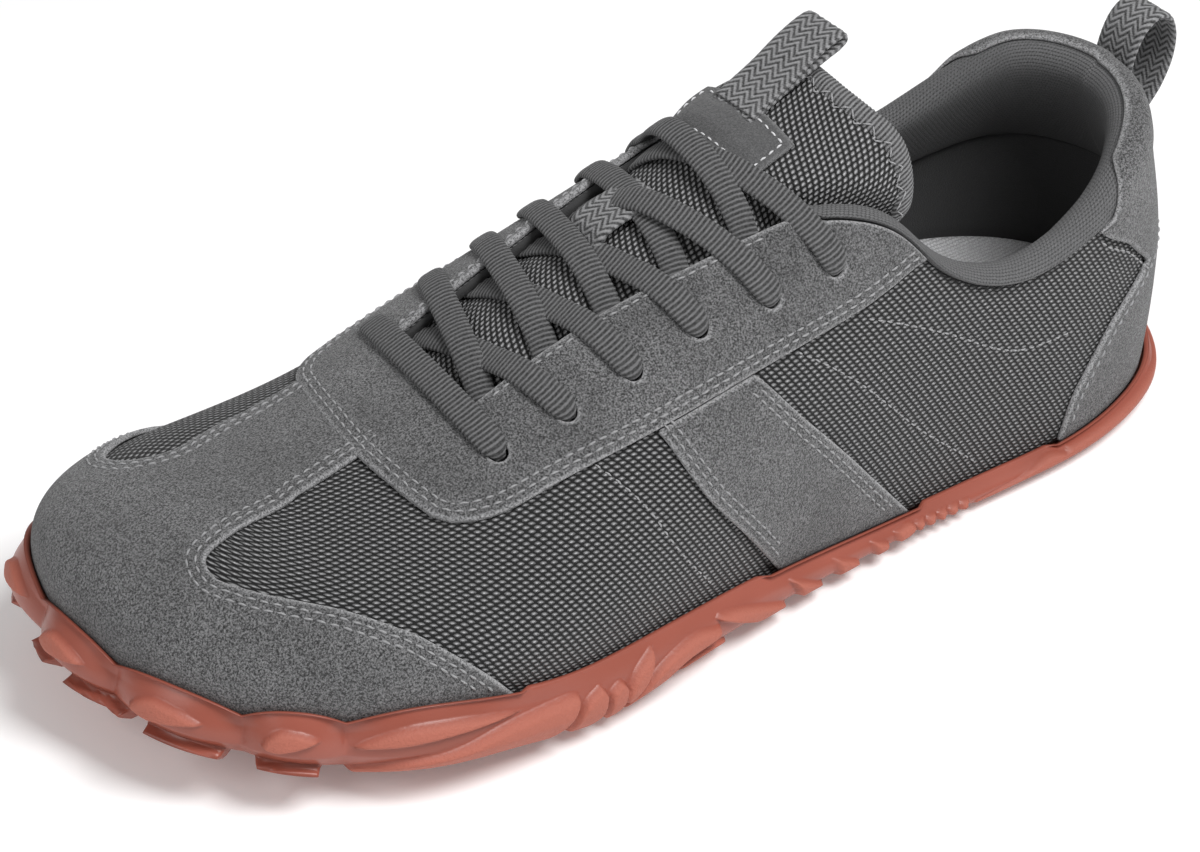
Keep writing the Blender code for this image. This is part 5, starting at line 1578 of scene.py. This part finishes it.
MESH_LINES = (
    ((0.578, 0.47), (0.558, 0.62), (0.536, 0.81), (0.504, 0.99)),
    ((0.426, 0.53), (0.378, 0.68), (0.324, 0.85), (0.264, 0.99)),
    ((0.366, 0.565), (0.308, 0.68), (0.244, 0.79), (0.176, 0.82)),
)
for line in MESH_LINES:
    for side in (1, -1):
        sew(off_edge(smooth_line(line) * [1, side], 1.2), 0.0, 1.6, 1.1, 0.24)
thread_piece("mesh_stitches", ["upper"], stitch_thread)

# %% Overlocked band
BAND_STEP = 0.14
i, a = np.full(400, 0.0), np.linspace(0.985, -0.985, 400)
s, p = tongue_place(i, a)
inner_s, inner_p = tongue_place(i + 0.030, a)
edge_place, edge_normal = on_last(s, p)
edge_place = edge_place - edge_normal * (tongue_sink(s, p) + 1.5)[:, None]
inner_place, inner_normal = on_last(inner_s, inner_p)
inner_place = inner_place - inner_normal * tongue_sink(inner_s, inner_p)[:, None]
table = resample(edge_place, BAND_STEP, edge_normal, inner_place)
edge_place, edge_normal, inner_place = table[:, :3], table[:, 3:6], table[:, 6:9]
inward = inner_place - edge_place
inward = unit(inward - edge_normal * np.sum(inward * edge_normal, 1, keepdims=True))
angle = np.linspace(0, 2 * np.pi, 24, endpoint=False)
run = np.arange(len(edge_place)) * BAND_STEP
hatch = 0.5 + 0.5 * np.cos(2 * np.pi * (run[:, None] / 0.90 + 0.25 * np.cos(angle)[None]))
reach = 1 + 0.07 * (hatch - 0.5)
rings = (edge_place[:, None] + inward[:, None] * (1.9 + 2.9 * np.cos(angle) * reach)[..., None]
         + edge_normal[:, None] * (2.2 * np.sin(angle) * reach)[..., None])
points, faces = swept(rings)
# Painted highlight and shade: the crests of the wraps are marked raised, lighter in the thread's finish,
# darker between them.
piece("overlock_band", points, faces, overlock, ["tongue"],
      marks={"raised": np.concatenate([hatch.reshape(-1), [0.3, 0.3]])})
zigzag = np.abs((run / 2.6) % 2 - 1)
path = edge_place + inward * (2.6 + 2.4 * zigzag)[:, None] + edge_normal * (2.15 - 0.55 * zigzag)[:, None]
sew_places(resample(path, SEW_STEP, edge_normal), 2.2, 0.35, 0.2, 0.1)
thread_piece("overlock_stitches", ["tongue"], stitch_thread)

# %% [markdown]
# ## Laces
#
# One flat lace runs through six pairs of eyelets. Each bar starts in an eyelet, passes under
# the eyestay, comes out at the throat, crosses the tongue, climbs the other edge and dives
# into the next eyelet. Its two ends stop inside the top eyelets; the real shoe's knot is not
# shown.

# %% Laces
LACE_WIDTH = 6.3
LACE_STEP = 0.21
RIB_PITCH = 1.05
ON_TOP = SUEDE_TOP + 0.3 + 0.85
KEPT_CROSSING = 4


def lace_solid(name, knots, nodes):
    """A flat ribbed lace through knots of station, span, lift, width and thickness."""
    path = smooth_line(knots, 14)
    centre, normal = on_last(path[:, 0], path[:, 1], path[:, 2])
    table = resample(centre, LACE_STEP, normal, path[:, 3:5])
    centre, normal, width, thick = table[:, :3], table[:, 3:6], table[:, 6], table[:, 7]
    side, lift = carried(centre, normal)
    run = np.arange(len(centre)) * LACE_STEP
    angle = np.linspace(0, 2 * np.pi, 22, endpoint=False)
    c, s = np.cos(angle), np.sin(angle)
    flat_x = np.sign(c) * np.abs(c) ** 0.62
    flat_z = np.sign(s) * np.abs(s) ** 0.75
    lean = 0.35 * np.abs(flat_x)[None, :]
    wave = 0.5 + 0.5 * np.cos(2 * np.pi * (run[:, None] / RIB_PITCH + lean))
    ridge = wave ** 1.3
    edge = 1 + 0.03 * (ridge - 0.5)
    x = width[:, None] / 2 * flat_x[None] * edge
    dish = 0.10 * thick[:, None] * (flat_x[None] ** 2)
    z = (thick[:, None] / 2 - 0.10 + 0.17 * ridge) * flat_z[None] - dish
    rings = centre[:, None] + side[:, None] * x[..., None] + lift[:, None] * z[..., None]
    points, faces = swept(rings)
    # Painted highlight and shade: the rib crests are marked raised, so the lace's finish makes them lighter
    # and the grooves darker.
    raised = np.concatenate([ridge.reshape(-1), [0.3, 0.3]])
    piece(name, points, faces, lace_braid, nodes, marks={"raised": raised})


def bar(name, low, high, side, lifts, nodes):
    """A lace bar from the low eyelet on one side to the high eyelet on the other."""
    s0, r0 = low
    s1, r1 = high
    edge0 = edge_span(s0, -side)
    edge1 = edge_span(s1, side)
    rows = [(-r0, -1.5, 2.6, 1.5), (-r0 + 0.02, -2.55, 4.0, 0.9), (-edge0 - 0.03, -2.6, 5.6, 0.85),
            (-edge0 + 0.02, lifts[0], 6.1, 1.2), (-0.45 * edge0, lifts[1], LACE_WIDTH, 1.5),
            (0.0, lifts[2], LACE_WIDTH, 1.5), (0.5 * edge1, lifts[3], LACE_WIDTH, 1.5),
            (edge1 - 0.005, lifts[4], LACE_WIDTH, 1.5), (edge1 + 0.05, ON_TOP + 0.15, LACE_WIDTH, 1.5),
            (r1 - 0.055, ON_TOP + 0.1, LACE_WIDTH, 1.6), (r1 - 0.018, ON_TOP - 0.05, 6.0, 1.7),
            (r1 - 0.002, ON_TOP - 0.7, 4.7, 1.9), (r1 + 0.007, ON_TOP - 2.0, 3.4, 1.9),
            (r1 + 0.003, -1.0, 2.6, 1.6)]
    rows = np.array(rows)
    share = (rows[:, 0] + r0) / (r0 + r1)
    knots = np.column_stack([s0 + (s1 - s0) * share, side * rows[:, 0], rows[:, 1:]])
    knots[:, 2] += throat_swell(knots[:, 0], knots[:, 1])
    lace_solid(name, knots, nodes)


first_station, first_reach = EYELETS[0]
# share of the reach, lift and width along the front bar
rows = np.array((
    (-1.0, -1.0, 2.6), (-1.01, 0.6, 3.0), (-0.99, 2.0, 3.8), (-0.94, 2.75, 5.9), (-0.80, 2.95, 6.3),
    (-0.4, 2.95, 6.3), (0.0, 2.95, 6.3), (0.4, 2.95, 6.3), (0.80, 2.95, 6.3), (0.94, 2.75, 5.9),
    (0.99, 2.0, 4.4), (1.01, 0.6, 3.0), (1.0, -1.0, 2.6),
))
stations = first_station + 0.5 * MEDIAL_SHIFT[0] * (1 - rows[:, 0]) + 0.006 * (1 - rows[:, 0] ** 2)
front_thick = np.full(len(rows), 1.6)
front_knots = np.column_stack([stations, rows[:, 0] * first_reach, rows[:, 1:], front_thick])
lace_solid("lace_bar_1", front_knots, ["lace_1"])
LOW_LIFTS = (-2.3, -2.2, -2.1, -1.2, 2.0)
TOP_LIFTS = (-2.2, -1.5, -0.35, 0.3, 2.3)
for k in range(1, len(EYELETS)):
    for side in (1, -1):
        on_top = (side < 0) != (k == KEPT_CROSSING)
        shift = 1.2 if EYELETS[k][0] < TONGUE_FREE + 0.02 else 0.0
        lifts = [v + shift * w for v, w in zip(TOP_LIFTS if on_top else LOW_LIFTS, (0, 0.6, 1, 0.6, 0))]
        name = "lace_bar_%d_%s" % (k + 1, "lateral" if side > 0 else "medial")
        bar(name, eyelet(k - 1, -side), eyelet(k, side), side, lifts, ["lace_%d" % (k + 1)])

# %% [markdown]
# ## Label, pull loops and keeper
#
# The patch on the tongue is bare suede with one white row of stitches. The pull tab, the
# loop on the heel and the small strap that keeps the laces in place are herringbone webbing.

# %% Label
LABEL_STATIONS = (0.375, 0.415)
LABEL_SPANS = (0.112, -0.205)
LABEL_THICK = 1.0
LABEL_SIZE = (12.5, 30.0)
LABEL_GRID = (36, 80)
s, p = np.meshgrid(np.linspace(*LABEL_STATIONS, LABEL_GRID[0]), np.linspace(*LABEL_SPANS, LABEL_GRID[1]),
                   indexing="ij")
label_sink = tongue_sink(s, p) - 0.35
label_place, label_normal = on_last(s, p)
label_place = label_place - label_normal * label_sink[..., None]
i, j = np.meshgrid(*(np.linspace(0, 1, count) for count in LABEL_GRID), indexing="ij")
from_rim = np.minimum(np.minimum(i, 1 - i) * LABEL_SIZE[0], np.minimum(j, 1 - j) * LABEL_SIZE[1])
crown = LABEL_THICK * (0.5 + 0.5 * np.sqrt(np.clip(from_rim / 0.7, 0, 1)))
crown = crown + 0.5 * np.clip((from_rim - 2.6) / 2.0, 0, 1) - 0.12 * np.exp(-((from_rim - 2.0) / 0.45) ** 2)
points, faces, source = shell(label_place.reshape(-1, 3), grid_quads(*LABEL_GRID), 0.0, crown.reshape(-1), 2)
marks = {"from_edge": from_rim.reshape(-1)[source]}
piece("bare_label", points, faces, label_suede, ["tongue_label"], marks=marks)
top = label_place + label_normal * crown[..., None]


def label_line(i0, j0, i1, j1):
    """Places and normals on the label's face between two shares of its sides."""
    t = np.linspace(0, 1, 60)
    a = np.round((i0 + (i1 - i0) * t) * (LABEL_GRID[0] - 1)).astype(int)
    b = np.round((j0 + (j1 - j0) * t) * (LABEL_GRID[1] - 1)).astype(int)
    return resample(top[a, b], SEW_STEP, label_normal[a, b])


for ends in ((0.15, 0.065, 0.15, 0.935), (0.85, 0.065, 0.85, 0.935), (0.15, 0.065, 0.85, 0.065),
             (0.15, 0.935, 0.85, 0.935)):
    sew_places(label_line(*ends), 1.45, 0.75, 0.24, 0.15)
thread_piece("label_stitches", ["tongue_label"], white_thread)


# %% Webbing
WEB_THICK = 1.4
WEB_STEP = 0.4
WEB_CHEVRON = 2.0
WEB_PITCH = 1.7
TAB_LINE = ((117, 92.6), (111, 95.2), (106, 97.6), (101, 99.8), (96, 101.8), (93, 103.0), (91, 104.8),
            (92, 106.8), (95.5, 106.2), (101, 103.6), (107, 99.8), (112, 97.2), (117, 94.8))
HEEL_LOOP_LINE = ((6.0, 56.0), (7.6, 65.2), (7.4, 72.6), (5.4, 78.6), (2.4, 81.6), (-0.6, 82.0),
                  (-2.9, 79.8), (-4.1, 75.7), (-3.6, 70.2), (-1.1, 64.4), (2.6, 59.5), (4.4, 55.0))


def strap(name, centre, facing, width, thick, nodes):
    """A woven strap along a line of places that faces the given way."""
    table = resample(centre, WEB_STEP, facing)
    centre, facing = table[:, :3], table[:, 3:6]
    side, lift = carried(centre, facing)
    run = np.arange(len(centre)) * WEB_STEP
    x = np.concatenate([np.linspace(-1, 1, 44), np.linspace(1, -1, 44)])
    face = np.concatenate([np.ones(44), -np.ones(44)])
    chevron = np.abs((x * width / 2 / WEB_CHEVRON) % 2 - 1) * WEB_CHEVRON
    wave = 0.5 + 0.5 * np.sin(2 * np.pi * (run[:, None] + chevron[None, :] * 1.1) / WEB_PITCH)
    round_off = np.clip((1 - np.abs(x)) / 0.12, 0.12, 1) ** 0.5
    z = face[None] * (thick / 2 * round_off[None] + 0.22 * (wave - 0.5) * round_off[None])
    rings = centre[:, None] + side[:, None] * (x * width / 2)[None, :, None] + lift[:, None] * z[..., None]
    points, faces = swept(rings)
    uv = np.stack(np.broadcast_arrays(run[:, None], (x * width / 2)[None, :]), -1).reshape(-1, 2)
    # Painted highlight and shade: the twill's crests are marked raised, lighter in the webbing's finish, with
    # darker grooves between.
    marks = {"raised": np.concatenate([wave.reshape(-1), [0.3, 0.3]])}
    piece(name, points, faces, webbing_weave, nodes, np.vstack([uv, uv[:2]]), marks)


def upright_strap(name, line, middle, width, nodes, inset):
    """A folded strap whose line is given in the plane along the shoe."""
    curve = smooth_line(line, 12)
    centre = np.column_stack([curve[:, 0], np.full(len(curve), middle), curve[:, 1]])
    facing = np.cross(unit(np.gradient(centre, axis=0)), [0.0, 1.0, 0.0])
    strap(name, centre + facing * inset, facing, width, WEB_THICK, nodes)


upright_strap("pull_tab", TAB_LINE, -6.5, 12.5, ["tongue_pull_tab"], -0.7)
upright_strap("heel_loop", HEEL_LOOP_LINE, -1.5, 11.5, ["heel_pull_loop"], -0.7)
keeper = smooth_line(((0.504, -0.05, -1.6), (0.500, -0.05, -0.6), (0.495, -0.05, 0.5), (0.486, -0.05, 0.8),
                      (0.474, -0.05, 0.5), (0.463, -0.05, -0.2), (0.455, -0.05, -1.2)), 8)
centre, facing = on_last(keeper[:, 0], keeper[:, 1], keeper[:, 2])
strap("keeper_strap", centre, facing, 11.5, 1.6, ["lace_keeper"])

# %% [markdown]
# ## Insole and tread

# %% Insole
INSOLE_THICK = 7.0
turns = np.linspace(0, 2, 240, endpoint=False)
foot = stave(turns)[0]
depth, _ = cup_at(turns)
edge = last(turns, below_rim(turns, depth - GAP)) - outward(turns) * (UPPER_WALL + 2 * GAP)
edge[:, 2] = foot[:, 2] - depth + 2 * GAP
spine = spine_of(turns) + [0, 0, 2 * GAP]
shares = np.concatenate([np.linspace(0, 0.97, 24), [0.99, 1.0]])
lower = spine[:, None] + (edge - spine)[:, None] * shares[None, :, None]
lift = INSOLE_THICK * np.sqrt(np.clip((1.012 - shares) / 0.04, 0.25, 1)) + 2.0 * shares ** 6
upper_face = lower[:, ::-1] + np.array([0, 0, 1.0]) * lift[::-1][None, :, None]
grid = np.concatenate([lower, upper_face], 1)
flat = grid.reshape(-1, 3)
first, faces = weld(flat, grid_quads(*grid.shape[:2], wrap_rows=True))
liner = piece("sock_liner", flat[first], faces, insole_cloth, ["insole"], flat[first][:, :2])

# %% Tread
LUG_ROWS = (
    (0.060, (-0.10, 0.10), 0.060, 0.150, 0),
    (0.135, (-0.24, 0.00, 0.24), 0.052, 0.160, 12),
    (0.205, (-0.25, 0.00, 0.25), 0.046, 0.160, -12),
    (0.275, (-0.24, 0.02, 0.27), 0.046, 0.150, 12),
    (0.445, (-0.24, 0.04, 0.31), 0.046, 0.160, -14),
    (0.515, (-0.27, 0.02, 0.31), 0.046, 0.170, 14),
    (0.590, (-0.34, -0.10, 0.13, 0.37), 0.046, 0.150, -14),
    (0.665, (-0.38, -0.12, 0.14, 0.40), 0.046, 0.160, 14),
    (0.742, (-0.40, -0.13, 0.13, 0.38), 0.046, 0.160, -14),
    (0.818, (-0.38, -0.12, 0.12, 0.34), 0.042, 0.150, 14),
    (0.880, (-0.22, -0.05, 0.12), 0.034, 0.120, 0),
    (0.930, (-0.17, -0.03), 0.026, 0.100, 0),
)
LUG_HEEL = 1.6
LUG_TOE = 3.0
blocks = np.array([(along, across, length, width, np.tan(np.radians(skew)) * (1 if across >= 0 else -1))
                   for along, middles, length, width, skew in LUG_ROWS for across in middles])
along, across, length, width, skew = blocks.T[:, :, None, None]
edge = np.linspace(-1, 1, 9)[:-1]
ring_x = np.concatenate([edge, np.ones(8), -edge, -np.ones(8)])
ring_y = np.concatenate([-np.ones(8), edge, np.ones(8), -edge])
# share of a block's outline and of its height, from the ground side of the sole outwards
levels = np.array(((1.00, 0.0), (0.97, 0.55), (0.93, 0.9), (0.86, 1.0), (0.66, 1.0), (0.60, 0.86),
                   (0.0, 0.86)))
y = (across + ring_y * levels[:, :1] * width / 2) * BALL
x = along * LENGTH + ring_x * levels[:, :1] * length * LENGTH / 2 + skew * (y - across * BALL)
base = under_side(x)
tread = np.maximum(base - np.interp(x / LENGTH, (0.3, 0.45), (LUG_HEEL, LUG_TOE)) - 0.3, 0.0)
z = base + 0.6 + (tread - base - 0.6) * levels[:, 1:]
points, faces = swept_all(np.stack([x, y, z], -1))
piece("tread_blocks", points, faces, gum_rubber, ["outsole"],
      marks={"raised": np.full(len(points), 0.5)}, smooth=False)
